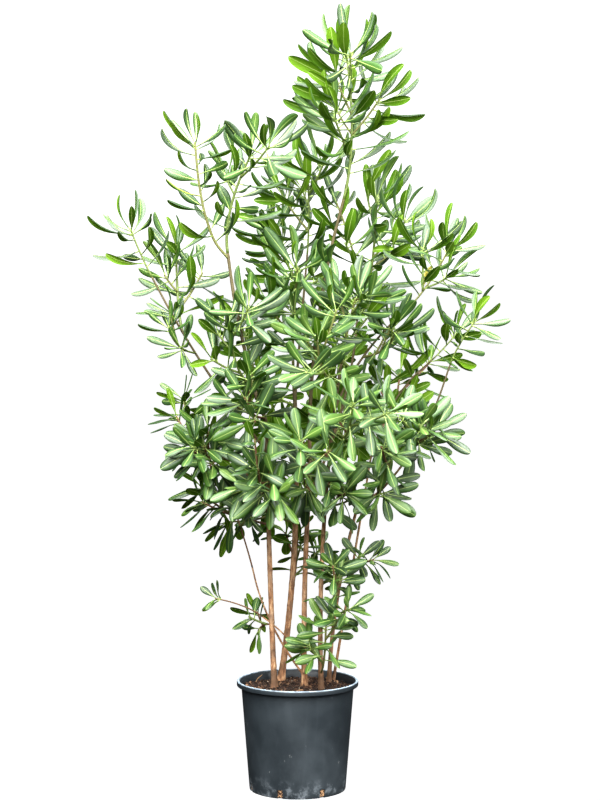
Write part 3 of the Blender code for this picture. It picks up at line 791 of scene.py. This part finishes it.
def leaf_places(shoot, count, chance):
    """For each leaf, in a spiral from the shoot's tip down, the ways in which it may stand."""
    reach = length_of(shoot)
    turn = chance.uniform(0, math.tau)
    places = []
    down = FIRST_LEAF
    for number in range(count):
        down += WHORL_SPACING if number < WHORL else SPIRAL_SPACING * chance.uniform(*SPIRAL_STEPS)
        share = 1 - down / reach
        if share < LOWEST_SHARE:
            break
        place, ahead = place_along(shoot, share)
        turn += GOLDEN_ANGLE
        fold = min(number / WHORL, 1) ** OPENING
        ways = []
        for _ in range(LEAF_TRIES):
            angle = OPEN_ANGLE + (LAST_ANGLE - OPEN_ANGLE) * fold * chance.uniform(*ANGLE_RANGE)
            ways.append((place, leaning(ahead, angle, turn + chance.uniform(*TURN_RANGE)), ahead))
        places.append((number, ways))
    return places


class Room:
    """Where a leaf may stand: in its own mass's space, and clear of the limbs and other leaves."""

    def __init__(self, space, limb_trees):
        self.space = space
        self.limb_trees = limb_trees
        self.cells = {}

    def near(self, cell):
        x, y, z = cell
        for other in itertools.product((x - 1, x, x + 1), (y - 1, y, y + 1), (z - 1, z, z + 1)):
            yield from self.cells.get(other, ())

    def take(self, number, middle, points, faces):
        """Whether a leaf of one mass fits there. It then takes its place."""
        if min(point.z for point in points) < LOWEST_LEAF:
            return False
        if not self.space.holds(number, points, SPACE_SLACK):
            return False
        tree = BVHTree.FromPolygons(points, faces)
        cell = tuple(math.floor(value / ROOM_CELL) for value in middle)
        if any(tree.overlap(other) for other in itertools.chain(self.near(cell), self.limb_trees)):
            return False
        self.cells.setdefault(cell, []).append(tree)
        return True


def mass_shoots(number, row, stem, limb_radius, space, chance):
    """The shoots of a mass: axis, radii at the base and the tip, and number of leaves of each."""
    _, _, share, _, shoot_count, first_turn, leaf_length = row
    vigour = between(leaf_length, WEAK_LEAF, STRONG_LEAF)
    base = TWIG_BASE_RADIUS * grown(BASE_SHARE, vigour)
    if share == 1.0:
        base = min(base, limb_radius)
    thin = stem[-1].z < THIN_BELOW
    shoots = [(stem, base, min(base, TWIG_TIP_RADIUS) * STEM_TAPER, round(grown(STEM_LEAVES, vigour)))]
    others = [(SIDE_SHOOT, axis) for axis in side_shoots(stem, shoot_count, first_turn, chance)]
    if shoot_count:
        others.append((FINE_SHOOT, fine_shoot(stem, chance)))
    for (radius, *counts), axis in others:
        if space.holds(number, axis[1:], SHOOT_SLACK):
            shoots.append((axis, radius, FINE_TIP_RADIUS, counts[thin]))
    return shoots


def grow_mass(number, row, stem, limb_radius, room, leaves, twigs):
    """Grows one mass of foliage, and adds its stem and shoots to twigs and its leaves to leaves."""
    chance = random.Random(row[0])
    high = between(stem[-1].z, LOW_HEIGHT, HIGH_HEIGHT)
    for shoot, base, tip, count in mass_shoots(number, row, stem, limb_radius, room.space, chance):
        path, where = smooth_path(shoot, TWIG_SPACING)
        kind = chance.choice(HIGH_KINDS if high > 0.5 else LOW_KINDS)
        twigs.add_tube(path, base + (tip - base) * where / where[-1], TWIG_SIDES, kind)
        tint = chance.random()
        for order, ways in leaf_places(shoot, count, chance):
            length = row[-1] * grown(LENGTH_SHARE, high) * chance.uniform(*LEAF_LENGTHS)
            if order < YOUNG:
                length *= YOUNG_LENGTH
            slenderness = grown(SLENDERNESS, high) * chance.uniform(*LEAF_WIDTHS)
            for root, ahead, top in ways:
                blade = leaf_shape(root + ahead * LEAF_STALK, ahead, top, length - LEAF_STALK, slenderness)
                if room.take(number, root + ahead * length / 2, *blade):
                    leaves.append(Leaf(root, ahead, top, length, slenderness, order, tint, chance.random()))
                    break


# Leaf meshes: rows along the leaf from its stalk to its tip, columns across it

# The margin takes a darker tint of its top: painted shade on the rolled margins
TOP, RIB, UNDER, SHADED_MARGIN = range(4)
# What the faces of a row show, across its top and then across its underside
ROW_PARTS = (SHADED_MARGIN, TOP, TOP, RIB, TOP, TOP, SHADED_MARGIN, UNDER, UNDER, RIB, UNDER, UNDER)
STALK_ROWS = 2
BLADE_ROWS = np.array((0.0, 0.12, 0.25, 0.38, 0.50, 0.61, 0.71, 0.80, 0.88, 0.94, 0.98))
TOP_COLUMNS = np.array((-1.0, -0.78, -0.42, 0.0, 0.0, 0.42, 0.78, 1.0))
RIB_SIGNS = np.array((0, 0, 0, -1, 1, 0, 0, 0))
UNDER_COLUMNS = np.array((-0.6, 0.0, 0.0, 0.6))
UNDER_RIB_SIGNS = np.array((0, -1, 1, 0))
STALK_SHARE = 0.09
WIDEST = 0.68
NARROWEST = 0.10
WEDGE_POWER = 1.8
TIP_POWER = 2.1
STALK_HALF_WIDTH = 0.0014
RIB_BASE = 0.0011
RIB_TIP = 0.0004
RIB_SHARE = 0.35
RIB_HALF_UV = 0.02
RIB_DROP = 0.0009
RIB_FADE = 0.7
RIB_SINK = 0.0002
BLADE_THICKNESS = 0.0007
STALK_THICKNESS = 0.0016
STALK_FADE = 2.5
EDGE_POWER = 3
LEAF_SHARP = 70

# The crown's axis, from which leaves turn outward, and how much light from there and above counts
AXIS_LOW = np.array((0.02, 0.03, 1.15))
AXIS_HIGH = np.array((0.115, 0.04, 1.60))
OPEN_SIDE = 0.55
SKY = np.array((0, -0.2, 0.5))
OWN_TOP = 0.6

# How leaves bend and curl: means and spreads, or ranges
ROLL = 0.42
LOW_ARCH = (0.36, 0.26)
HIGH_ARCH = (0.68, 0.28)
LEVEL_ARCH = 0.4
ARCH_POWER = 1.3
STALK_LIFT = 0.20
LIFT_SHARE = 0.3
TWIST = 0.28
ARC_RANGE = (0.6, 1.35)
CHANNEL_RANGE = (0.25, 0.60)
RIPPLE = 0.09
RIPPLE_WAVES = (5, 12)


def leaf_rows():
    """Where the rows are along the whole leaf, and along its blade alone."""
    stalk = np.linspace(0, STALK_SHARE, STALK_ROWS + 1)[:-1]
    along = np.concatenate([stalk, STALK_SHARE + (1 - STALK_SHARE) * BLADE_ROWS, [1.0]])
    blade = np.concatenate([np.zeros(STALK_ROWS), BLADE_ROWS, [1.0]])
    return along, blade


def leaf_faces():
    """Faces of one leaf, as quads and triangles, and the part of the leaf that each one shows."""
    rows = STALK_ROWS + len(BLADE_ROWS)
    across = len(TOP_COLUMNS)
    row_size = across + len(UNDER_COLUMNS)
    top = range(across)
    under = (0, *range(across, row_size), across - 1)
    pairs = [*zip(top, top[1:]), *zip(under[1:], under)]
    faces = []
    parts = []
    for row in range(rows):
        here = row * row_size
        above = here + row_size
        for (first, second), part in zip(pairs, ROW_PARTS):
            if row == rows - 1:
                faces.append((here + first, here + second, above))
            else:
                faces.append((here + first, here + second, above + second, above + first))
            parts.append(RIB if row < STALK_ROWS else part)
    faces.append((*reversed(top), *range(across, row_size)))
    parts.append(RIB)
    return faces, parts


def unit(vectors):
    return vectors / np.linalg.norm(vectors, axis=1)[:, None]


def turned_pair(first, second, angle):
    """Two directions square to each other, turned together, the first towards the second."""
    return first * np.cos(angle) + second * np.sin(angle), second * np.cos(angle) - first * np.sin(angle)


def leaf_stance(leaves, chance):
    """Each leaf's root, and the ways that its blade goes, its side points and its face looks."""
    roots, ahead, top = (np.array([tuple(leaf[part]) for leaf in leaves]) for part in range(3))
    # The upper side turns partly to the sky and to the open side of the crown
    rise = np.clip((roots[:, 2:] - AXIS_LOW[2]) / (AXIS_HIGH[2] - AXIS_LOW[2]), 0, 1)
    outward = roots - (AXIS_LOW + (AXIS_HIGH - AXIS_LOW) * rise)
    outward[:, 2] = 0
    light = unit(outward) * OPEN_SIDE + SKY
    side = unit(np.cross(ahead, top * OWN_TOP + light))
    roll = chance.normal(0, ROLL, (len(leaves), 1))
    side, normal = turned_pair(side, np.cross(side, ahead), roll)
    return roots, ahead, side, normal


def leaf_points(leaves, chance):
    """Points of every leaf, as an array of leaf, point and x, y, z, and the UVs of the points."""
    each = (len(leaves), 1)
    roots, ahead, side, normal = leaf_stance(leaves, chance)
    length = np.array([[leaf.length] for leaf in leaves])
    half = length * np.array([[leaf.slenderness] for leaf in leaves]) / 2
    high = np.clip((roots[:, 2:] - LOW_HEIGHT) / (HIGH_HEIGHT - LOW_HEIGHT), 0, 1)
    along, blade = leaf_rows()
    # Leaves high up curve to the sky, and those low down arch over
    flatness = 1 - np.abs(ahead[:, 2:])
    arch = chance.normal(*LOW_ARCH, each) * (LEVEL_ARCH + flatness) * (1 - high)
    arch -= chance.normal(*HIGH_ARCH, each) * high
    lift = chance.uniform(0, STALK_LIFT, each) * (1 - high)
    bend = arch * along**ARCH_POWER - lift * np.sin(np.pi * np.clip(along / LIFT_SHARE, 0, 1))
    lean, forward = turned_pair(normal[:, None], ahead[:, None], bend[..., None])
    steps = np.diff(along, prepend=0) * length
    mean_forward = forward.copy()
    mean_forward[:, 1:] = (forward[:, 1:] + forward[:, :-1]) / 2
    centre = roots[:, None] + np.cumsum(mean_forward * steps[..., None], axis=1)
    twist = chance.normal(0, TWIST, each) * along
    sideways, upright = turned_pair(side[:, None], lean, twist[..., None])
    # Outline: a long wedge from the stalk, widest past the middle, with a blunt tip
    wedge = np.sin(np.clip(blade / WIDEST, 0, 1) * np.pi / 2) ** WEDGE_POWER
    wedge = NARROWEST + (1 - NARROWEST) * wedge
    tip = (1 - np.clip((blade - WIDEST) / (1 - WIDEST), 0, 1) ** TIP_POWER) ** 0.5
    width = np.maximum(half * (wedge * tip), STALK_HALF_WIDTH)
    rib = np.minimum(RIB_BASE + (RIB_TIP - RIB_BASE) * blade, RIB_SHARE * width)
    # Across the blade: an arch whose margins roll under, with a channel along the rib
    arc = grown(ARC, high) * chance.uniform(*ARC_RANGE, each)
    channel = chance.uniform(*CHANNEL_RANGE, each)
    ripple = chance.uniform(0, RIPPLE, each)
    waves = blade * chance.uniform(*RIPPLE_WAVES, each)
    ripple = ripple * np.sin(waves + chance.uniform(0, math.tau, each))
    thick = BLADE_THICKNESS + (1 - np.clip(blade * STALK_FADE, 0, 1)) * STALK_THICKNESS

    def strip(columns, signs, lifted):
        """Points of the rows on one side of the blade, a little above or below its middle."""
        out = np.abs(columns)
        angle = arc[..., None] * out
        aside = np.sign(columns) * np.sin(angle) / arc[..., None]
        fall = (np.cos(angle) - 1) / arc[..., None]
        groove = channel[..., None] * out * (1 - out)
        wave = ripple[..., None] * columns * out
        offset = (aside * width[..., None] + signs * rib[..., None])[..., None]
        height = ((fall + groove + wave) * width[..., None] + lifted)[..., None]
        return centre[:, :, None] + sideways[:, :, None] * offset + upright[:, :, None] * height

    thick = thick[:, None] / 2
    drop = RIB_DROP * (1 - blade[:, None] * RIB_FADE)
    raised = thick * (1 - np.abs(TOP_COLUMNS) ** EDGE_POWER) - np.abs(RIB_SIGNS) * RIB_SINK
    sunk = -thick - drop * np.abs(UNDER_RIB_SIGNS)
    strips = [strip(TOP_COLUMNS, RIB_SIGNS, raised), strip(UNDER_COLUMNS, UNDER_RIB_SIGNS, sunk)]
    grid = np.concatenate(strips, axis=2)
    points = np.concatenate([grid[:, :-1].reshape(len(leaves), -1, 3), centre[:, -1:]], axis=1)
    across = np.concatenate([TOP_COLUMNS, UNDER_COLUMNS]) / 2
    across = across + np.concatenate([RIB_SIGNS, UNDER_RIB_SIGNS]) * RIB_HALF_UV
    uv = np.stack(np.meshgrid(0.5 + across, blade[:-1]), axis=-1).reshape(-1, 2)
    return points, np.concatenate([uv, [[0.5, 1.0]]])


def build_leaves(name, leaves, materials, seed):
    """One mesh of many leaves, each in the colours of its own look."""
    points, uv = leaf_points(leaves, np.random.default_rng(seed))
    faces, parts = leaf_faces()
    size = points.shape[1]
    all_faces = []
    kinds = []
    for index, leaf in enumerate(leaves):
        shift = index * size
        all_faces += [tuple(corner + shift for corner in face) for face in faces]
        look = leaf_look(leaf)
        kinds += [look[part] for part in parts]
    mesh = make_mesh(name, points.reshape(-1, 3), all_faces, materials, kinds)
    layer = mesh.uv_layers.new(name="leaf")
    corners = np.zeros(len(mesh.loops), dtype=np.int32)
    mesh.loops.foreach_get("vertex_index", corners)
    layer.data.foreach_set("uv", uv[corners % size].ravel())
    mesh.set_sharp_from_angle(angle=math.radians(LEAF_SHARP))
    return place_in_scene(name, mesh)


# Tints of the upper sides from old to young, with the yellow of a dying leaf last
UPPER_TINTS = (
    (25, 57, 3),
    (34, 70, 5),
    (46, 85, 8),
    (59, 97, 14),
    (70, 105, 24),
    (88, 120, 40),
    (156, 144, 44),
)
UNDER_TINTS = ((74, 110, 14), (94, 130, 24))
RIB_TINT = (158, 178, 104)
YELLOW = len(UPPER_TINTS) - 1
FIRST_UNDER = len(UPPER_TINTS)
RIB_LOOK = FIRST_UNDER + len(UNDER_TINTS)
SPRAY_STEPS = 2.6
OWN_STEPS = 2.2
YOUNG_STEPS = 1.4
# How many tints darker the margins are, as painted shade
MARGIN_SHADE_STEPS = 2
YELLOW_FROM = 0.997
SHOOTS = (
    ("shoot_green", (96, 112, 54), 0.55),
    ("shoot_olive", (106, 108, 60), 0.6),
    ("shoot_brown", (112, 84, 60), 0.7),
)


def leaf_materials():
    tops = [leaf_blade(f"leaf_top_{i}", screen(*tint), 0.5, 0.92) for i, tint in enumerate(UPPER_TINTS)]
    unders = [leaf_blade(f"leaf_under_{i}", screen(*tint), 0.65, 0.0) for i, tint in enumerate(UNDER_TINTS)]
    return tops + unders + [twig_material("leaf_rib", screen(*RIB_TINT), 0.45)]


def leaf_look(leaf):
    """Materials of a leaf's top, rib, underside and margin: its spray's tint, lighter if it is young, and for
    the margin a darker tint, painted shade on the rolled margins.
    """
    step = leaf.tint * SPRAY_STEPS + leaf.own * OWN_STEPS
    if leaf.order < YOUNG:
        step += YOUNG_STEPS
    top = min(int(step), YELLOW - 1)
    if leaf.own > YELLOW_FROM and leaf.order >= YOUNG:
        top = YELLOW
    return top, RIB_LOOK, FIRST_UNDER + (leaf.own > 0.5), max(top - MARGIN_SHADE_STEPS, 0)


GUARD_SPACING = 0.04
GUARD_RADIUS = 0.006
GUARD_SIDES = 6


def guard_tube(axis):
    """A coarse tube round a limb, which leaves keep clear of."""
    path, _ = smooth_path(axis, GUARD_SPACING)
    grid = tube_grid(path, np.full((len(path), GUARD_SIDES), GUARD_RADIUS), GUARD_SIDES)
    return BVHTree.FromPolygons(grid.reshape(-1, 3).tolist(), tube_faces(len(path), GUARD_SIDES))


def dress_masses(axes):
    stems = [mass_stem(axes[limb], share, tip) for _, limb, share, tip, *_ in MASSES]
    room = Room(Space(stems), [guard_tube(axis) for axis in axes.values()])
    looks = leaf_materials()
    barks = [twig_material(name, screen(*tint), roughness) for name, tint, roughness in SHOOTS]
    tip_radii = {name: radius for name, *_, radius in STEMS + BOUGHS}
    first = 0
    for seed, (part, count) in enumerate(FOLIAGE):
        grown_leaves = []
        grown_twigs = Batch()
        for number in range(first, first + count):
            limb_radius = tip_radii[MASSES[number][1]]
            grow_mass(number, MASSES[number], stems[number], limb_radius, room, grown_leaves, grown_twigs)
        nodes = [name for name, *_ in MASSES[first : first + count]]
        leaves = build_leaves(f"foliage_{part}", grown_leaves, looks, seed)
        twigs = grown_twigs.make(f"twigs_{part}", barks)
        for piece, slot in ((leaves, "leaf_green"), (twigs, "bark")):
            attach(piece, BODY)
            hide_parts(*nodes)
        first += count


# Pot and soil

POT_SIDES = 140
POT_SHARP = 40
CENTRE_RADIUS = 0.02
FOOT_FLAT = 0.012
FOOT_ROUND = 0.002
WALL_RINGS = 17
LIP_NOTCH = 0.0015
LIP_LOW_ROUND = 0.0022
LIP_SIDE = 0.006
LIP_TOP_ROUND = 0.0036
LIP_STEP = 0.001
LIP_INNER_DROP = 0.005
LIP_INNER_FOOT = 0.004
INNER_RING = 0.2
SLOT_DEPTH = 0.012
SLOT_MARGIN = 0.001
SLOT_ROUNDING = 0.2


def wall_radius(height):
    share = height / (POT_HEIGHT - LIP_HEIGHT)
    return FOOT_RADIUS + (WALL_TOP_RADIUS - FOOT_RADIUS) * share


def level_ring(radius, height, sides):
    """Points of a level ring round the pot's axis."""
    angles = [math.tau * side / sides for side in range(sides)]
    return [(radius * math.cos(angle), radius * math.sin(angle), height) for angle in angles]


def arc(centre, radius, first, last, count):
    """Points of (radius, height) on an arc, its angles in degrees from straight out."""
    points = []
    for index in range(count):
        angle = math.radians(first + (last - first) * index / (count - 1))
        points.append((centre[0] + radius * math.cos(angle), centre[1] + radius * math.sin(angle)))
    return points


def pot_profile():
    """Points of (radius, height): up the wall outside, over the lip and down inside."""
    lip_foot = POT_HEIGHT - LIP_HEIGHT
    heights = [lip_foot * index / WALL_RINGS for index in range(1, WALL_RINGS)]
    low_round = (RIM_RADIUS - LIP_LOW_ROUND, lip_foot + LIP_LOW_ROUND)
    top_round = (RIM_RADIUS - LIP_TOP_ROUND, POT_HEIGHT - LIP_TOP_ROUND)
    return [
        (CENTRE_RADIUS, 0.0),
        (FOOT_RADIUS - FOOT_FLAT, 0.0),
        *arc((FOOT_RADIUS - FOOT_ROUND, FOOT_ROUND), FOOT_ROUND, -90, 0, 4),
        *((wall_radius(height), height) for height in heights),
        (wall_radius(lip_foot), lip_foot - LIP_NOTCH),
        *arc(low_round, LIP_LOW_ROUND, -90, 0, 4),
        (RIM_RADIUS, POT_HEIGHT - LIP_SIDE),
        *arc(top_round, LIP_TOP_ROUND, 0, 160, 8),
        (WALL_TOP_RADIUS + LIP_STEP, POT_HEIGHT - LIP_INNER_DROP),
        (wall_radius(lip_foot) - WALL, lip_foot - LIP_INNER_FOOT),
        (wall_radius(INNER_RING) - WALL, INNER_RING),
        (wall_radius(FLOOR) - WALL, FLOOR),
        (CENTRE_RADIUS, FLOOR),
    ]


def slot_cutter(angle):
    """A rounded block that cuts one drain slot through the foot of the wall."""
    outward = Vector((math.sin(angle), -math.cos(angle), 0))
    middle = outward * (FOOT_RADIUS - SLOT_MARGIN) + UP * (SLOT_HEIGHT / 2 - SLOT_MARGIN)
    bpy.ops.mesh.primitive_cube_add(size=1, location=middle, rotation=(0, 0, angle))
    cutter = bpy.context.object
    cutter.scale = (SLOT_WIDTH, SLOT_DEPTH, SLOT_HEIGHT + 2 * SLOT_MARGIN)
    bpy.ops.object.modifier_add(type="BEVEL")
    cutter.modifiers[0].width = SLOT_ROUNDING
    cutter.modifiers[0].segments = 3
    bpy.context.view_layer.update()
    return cutter


def cut(piece, cutter):
    modifier = piece.modifiers.new("slot", "BOOLEAN")
    modifier.operation = "DIFFERENCE"
    modifier.solver = "EXACT"
    modifier.object = cutter
    evaluated = piece.evaluated_get(bpy.context.evaluated_depsgraph_get())
    piece.data = bpy.data.meshes.new_from_object(evaluated)
    piece.modifiers.clear()
    bpy.data.objects.remove(cutter, do_unlink=True)


def dress_pot():
    profile = pot_profile()
    points = [level_ring(radius, height, POT_SIDES) for radius, height in profile]
    batch = Batch()
    batch.add(points, tube_faces(len(profile), POT_SIDES))
    pot = batch.make("nursery_pot", [pot_material()], sharp=POT_SHARP)
    for number in range(SLOT_COUNT):
        cut(pot, slot_cutter(FIRST_SLOT + math.tau * number / SLOT_COUNT))
    pot.data.shade_smooth()
    pot.data.set_sharp_from_angle(angle=math.radians(POT_SHARP))
    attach(pot, BODY)
    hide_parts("pot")


# Unevenness of the soil: how fine it is, the layer of noise it is read from, and its height
SOIL_WAVES = ((22, 0.3, 0.004), (70, 1.7, 0.0022))
SOIL_SINK = 0.002
MOUND = 0.004
MOUND_CENTRE = 0.02
MOUND_SPREAD = 0.004
SOIL_SIDES = 120
SOIL_RINGS = 34
SOIL_HEIGHTS = (FLOOR + GAP, 0.03, 0.06)
SOIL_GAP = 0.0006
SOIL_TOP_GAP = 0.001
SOIL_SEED = 11
SOIL_SHARP = 35

# Colours of the bits on the soil, and last of the straw. Kinds count from 1, since the mix is 0
BIT_TINTS = (
    (88, 64, 48),
    (62, 44, 33),
    (128, 100, 76),
    (38, 27, 21),
    (186, 176, 156),
    (170, 134, 92),
)
BIT_COUNT = 2200
BIT_KINDS = (1, 2, 3, 4, 5)
BIT_WEIGHTS = (3, 6, 1.6, 8, 0.7)
BIT_SIZES = (0.0009, 0.0030)
GRIT = 5
GRIT_SIZES = (0.0009, 0.0018)
BIT_LENGTHS = (1.0, 2.6)
BIT_WIDTH = 0.8
BIT_THICKNESS = 0.45
BIT_REACH = 0.985
BIT_SINK = 0.3
CORNER_SHIFTS = (0.3, 0.3, 0.2)
SQUARE = ((-1, -1), (1, -1), (1, 1), (-1, 1))
BLOCK_FACES = ((0, 3, 2, 1), (4, 5, 6, 7), (0, 1, 5, 4), (1, 2, 6, 5), (2, 3, 7, 6), (3, 0, 4, 7))

STRAW = (
    (-0.107, 0.070, SOIL_TOP - 0.004),
    (-0.100, 0.067, SOIL_TOP + 0.009),
    (-0.088, 0.060, SOIL_TOP + 0.021),
)
STRAW_RADIUS = 0.0009
STRAW_SPACING = 0.004
STRAW_SIDES = 6


def soil_height(x, y):
    """Height of the soil, which is uneven and rises a little among the stems."""
    uneven = sum(noise.noise(Vector((x * fine, y * fine, layer))) * high for fine, layer, high in SOIL_WAVES)
    away = (x - MOUND_CENTRE) ** 2 + (y - MOUND_CENTRE) ** 2
    return SOIL_TOP - SOIL_SINK + uneven + MOUND * math.exp(-away / MOUND_SPREAD)


def add_bit(batch, reach, chance):
    """One bit of bark or grit, which lies somewhere on the soil."""
    radius = reach * math.sqrt(chance.random()) * BIT_REACH
    angle = chance.uniform(0, math.tau)
    x, y = radius * math.cos(angle), radius * math.sin(angle)
    kind = chance.choices(BIT_KINDS, BIT_WEIGHTS)[0]
    size = chance.uniform(*(GRIT_SIZES if kind == GRIT else BIT_SIZES))
    turn = Quaternion([chance.gauss(0, 1) for _ in range(4)])
    turn.normalize()
    long = chance.uniform(*BIT_LENGTHS)
    centre = Vector((x, y, soil_height(x, y) + size * BIT_SINK))
    corners = []
    for up, (right, back) in itertools.product((-1, 1), SQUARE):
        corner = Vector((right * long, back * BIT_WIDTH, up * BIT_THICKNESS)) * size
        corner += Vector([chance.uniform(-shift, shift) for shift in CORNER_SHIFTS]) * size
        corners.append(tuple(centre + turn @ corner))
    batch.add(corners, BLOCK_FACES, kind)


def dress_soil():
    chance = random.Random(SOIL_SEED)
    batch = Batch()
    reach = wall_radius(SOIL_TOP) - WALL - SOIL_TOP_GAP
    points = []
    for height in SOIL_HEIGHTS:
        points += level_ring(wall_radius(height) - WALL - SOIL_GAP, height, SOIL_SIDES)
    for ring in range(SOIL_RINGS, 0, -1):
        for x, y, _ in level_ring(reach * ring / SOIL_RINGS, 0, SOIL_SIDES):
            points.append((x, y, soil_height(x, y)))
    batch.add(points, tube_faces(len(SOIL_HEIGHTS) + SOIL_RINGS, SOIL_SIDES))
    for _ in range(BIT_COUNT):
        add_bit(batch, reach, chance)
    path, _ = smooth_path([Vector(point) for point in STRAW], STRAW_SPACING)
    batch.add_tube(path, np.full(len(path), STRAW_RADIUS), STRAW_SIDES, len(BIT_TINTS))
    bits = [twig_material(f"soil_bit_{i}", screen(*tint), 0.9) for i, tint in enumerate(BIT_TINTS)]
    soil = batch.make("potting_mix", [soil_material()] + bits, sharp=SOIL_SHARP)
    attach(soil, BODY)
    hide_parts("soil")


# Stage, lights and camera

AMBIENT = 0.035
FLOOR_GLOW = 0.85
BACKDROP_GLOW = 1.1
WHITE = (1, 1, 1, 1)
STAGE_WHITE = (0.93, 0.93, 0.93, 1)

# Lights: name, place, height that they point at, size and power
LIGHTS = (
    ("key", (-1.5, -3.9, 3.8), 1.1, 4.6, 630),
    ("top", (0.3, -1.1, 5.2), 1.1, 5.6, 960),
    ("side", (3.4, -2.6, 2.6), 1.0, 2.6, 230),
    ("fill", (0.4, -5.0, 0.7), 1.1, 4.0, 36),
    ("back", (1.6, 4.4, 3.0), 1.0, 5.0, 420),
)

CAMERA_PLACE = (0.006, -6.0, 1.45)
CAMERA_TILT = math.radians(4.62)
SENSOR = 36
FOCAL_PIXELS = 2460
FRAME_HEIGHT = 800


def area_light(name, place, aim, size, power, lit):
    """A round soft light that lights only the pieces in one collection, so the floor stays even."""
    lamp = bpy.data.lights.new(name, "AREA")
    lamp.shape = "DISK"
    lamp.size = size
    lamp.energy = power
    thing = place_in_scene(name, lamp)
    thing.location = place
    thing.rotation_euler = (Vector((0, 0, aim)) - Vector(place)).to_track_quat("-Z", "Y").to_euler()
    thing.light_linking.receiver_collection = lit
    return thing


def build_lights():
    lit = bpy.data.collections.new("lit_pieces")
    for thing in bpy.context.scene.objects:
        if thing.type == "MESH" and thing.name not in ("floor", "backdrop"):
            lit.objects.link(thing)
    for row in LIGHTS:
        light = area_light(*row, lit)
    # The last one, for the views from behind, puts no gloss on the leaves seen from the front
    light.visible_glossy = False


def stage_piece(name, glow):
    """The object just made, as a matt white piece of the stage, with a glow of its own."""
    piece = bpy.context.object
    piece.name = name
    white = Finish(name, STAGE_WHITE, 0.9)
    white.set({"Specular IOR Level": 0.0, "Emission Color": WHITE, "Emission Strength": glow})
    piece.data.materials.append(white.material)
    piece.visible_diffuse = False
    piece.visible_glossy = False
    piece.visible_shadow = False


def build_stage():
    bpy.ops.mesh.primitive_cylinder_add(vertices=64, radius=40, depth=0.02, location=(0, 0, -0.01))
    stage_piece("floor", FLOOR_GLOW)
    bpy.ops.mesh.primitive_uv_sphere_add(segments=64, ring_count=32, radius=60)
    stage_piece("backdrop", BACKDROP_GLOW)
    world = bpy.data.worlds.new("studio")
    world.use_nodes = True
    sky = world.node_tree.nodes["Background"]
    sky.inputs[0].default_value = WHITE
    sky.inputs[1].default_value = AMBIENT
    bpy.context.scene.world = world
    bpy.context.scene.view_settings.view_transform = "Standard"
    bpy.context.scene.view_settings.look = "Medium High Contrast"


def build_camera():
    data = bpy.data.cameras.new("camera")
    data.sensor_width = SENSOR
    data.lens = FOCAL_PIXELS / FRAME_HEIGHT * SENSOR
    camera = place_in_scene("camera", data)
    camera.location = CAMERA_PLACE
    camera.rotation_euler = (math.radians(90) - CAMERA_TILT, 0, 0)
    bpy.context.scene.camera = camera


build_camera()
build_stage()
limb_axes = grow_limbs()
dress_limbs(limb_axes)
dress_masses(limb_axes)
dress_pot()
dress_soil()
build_lights()
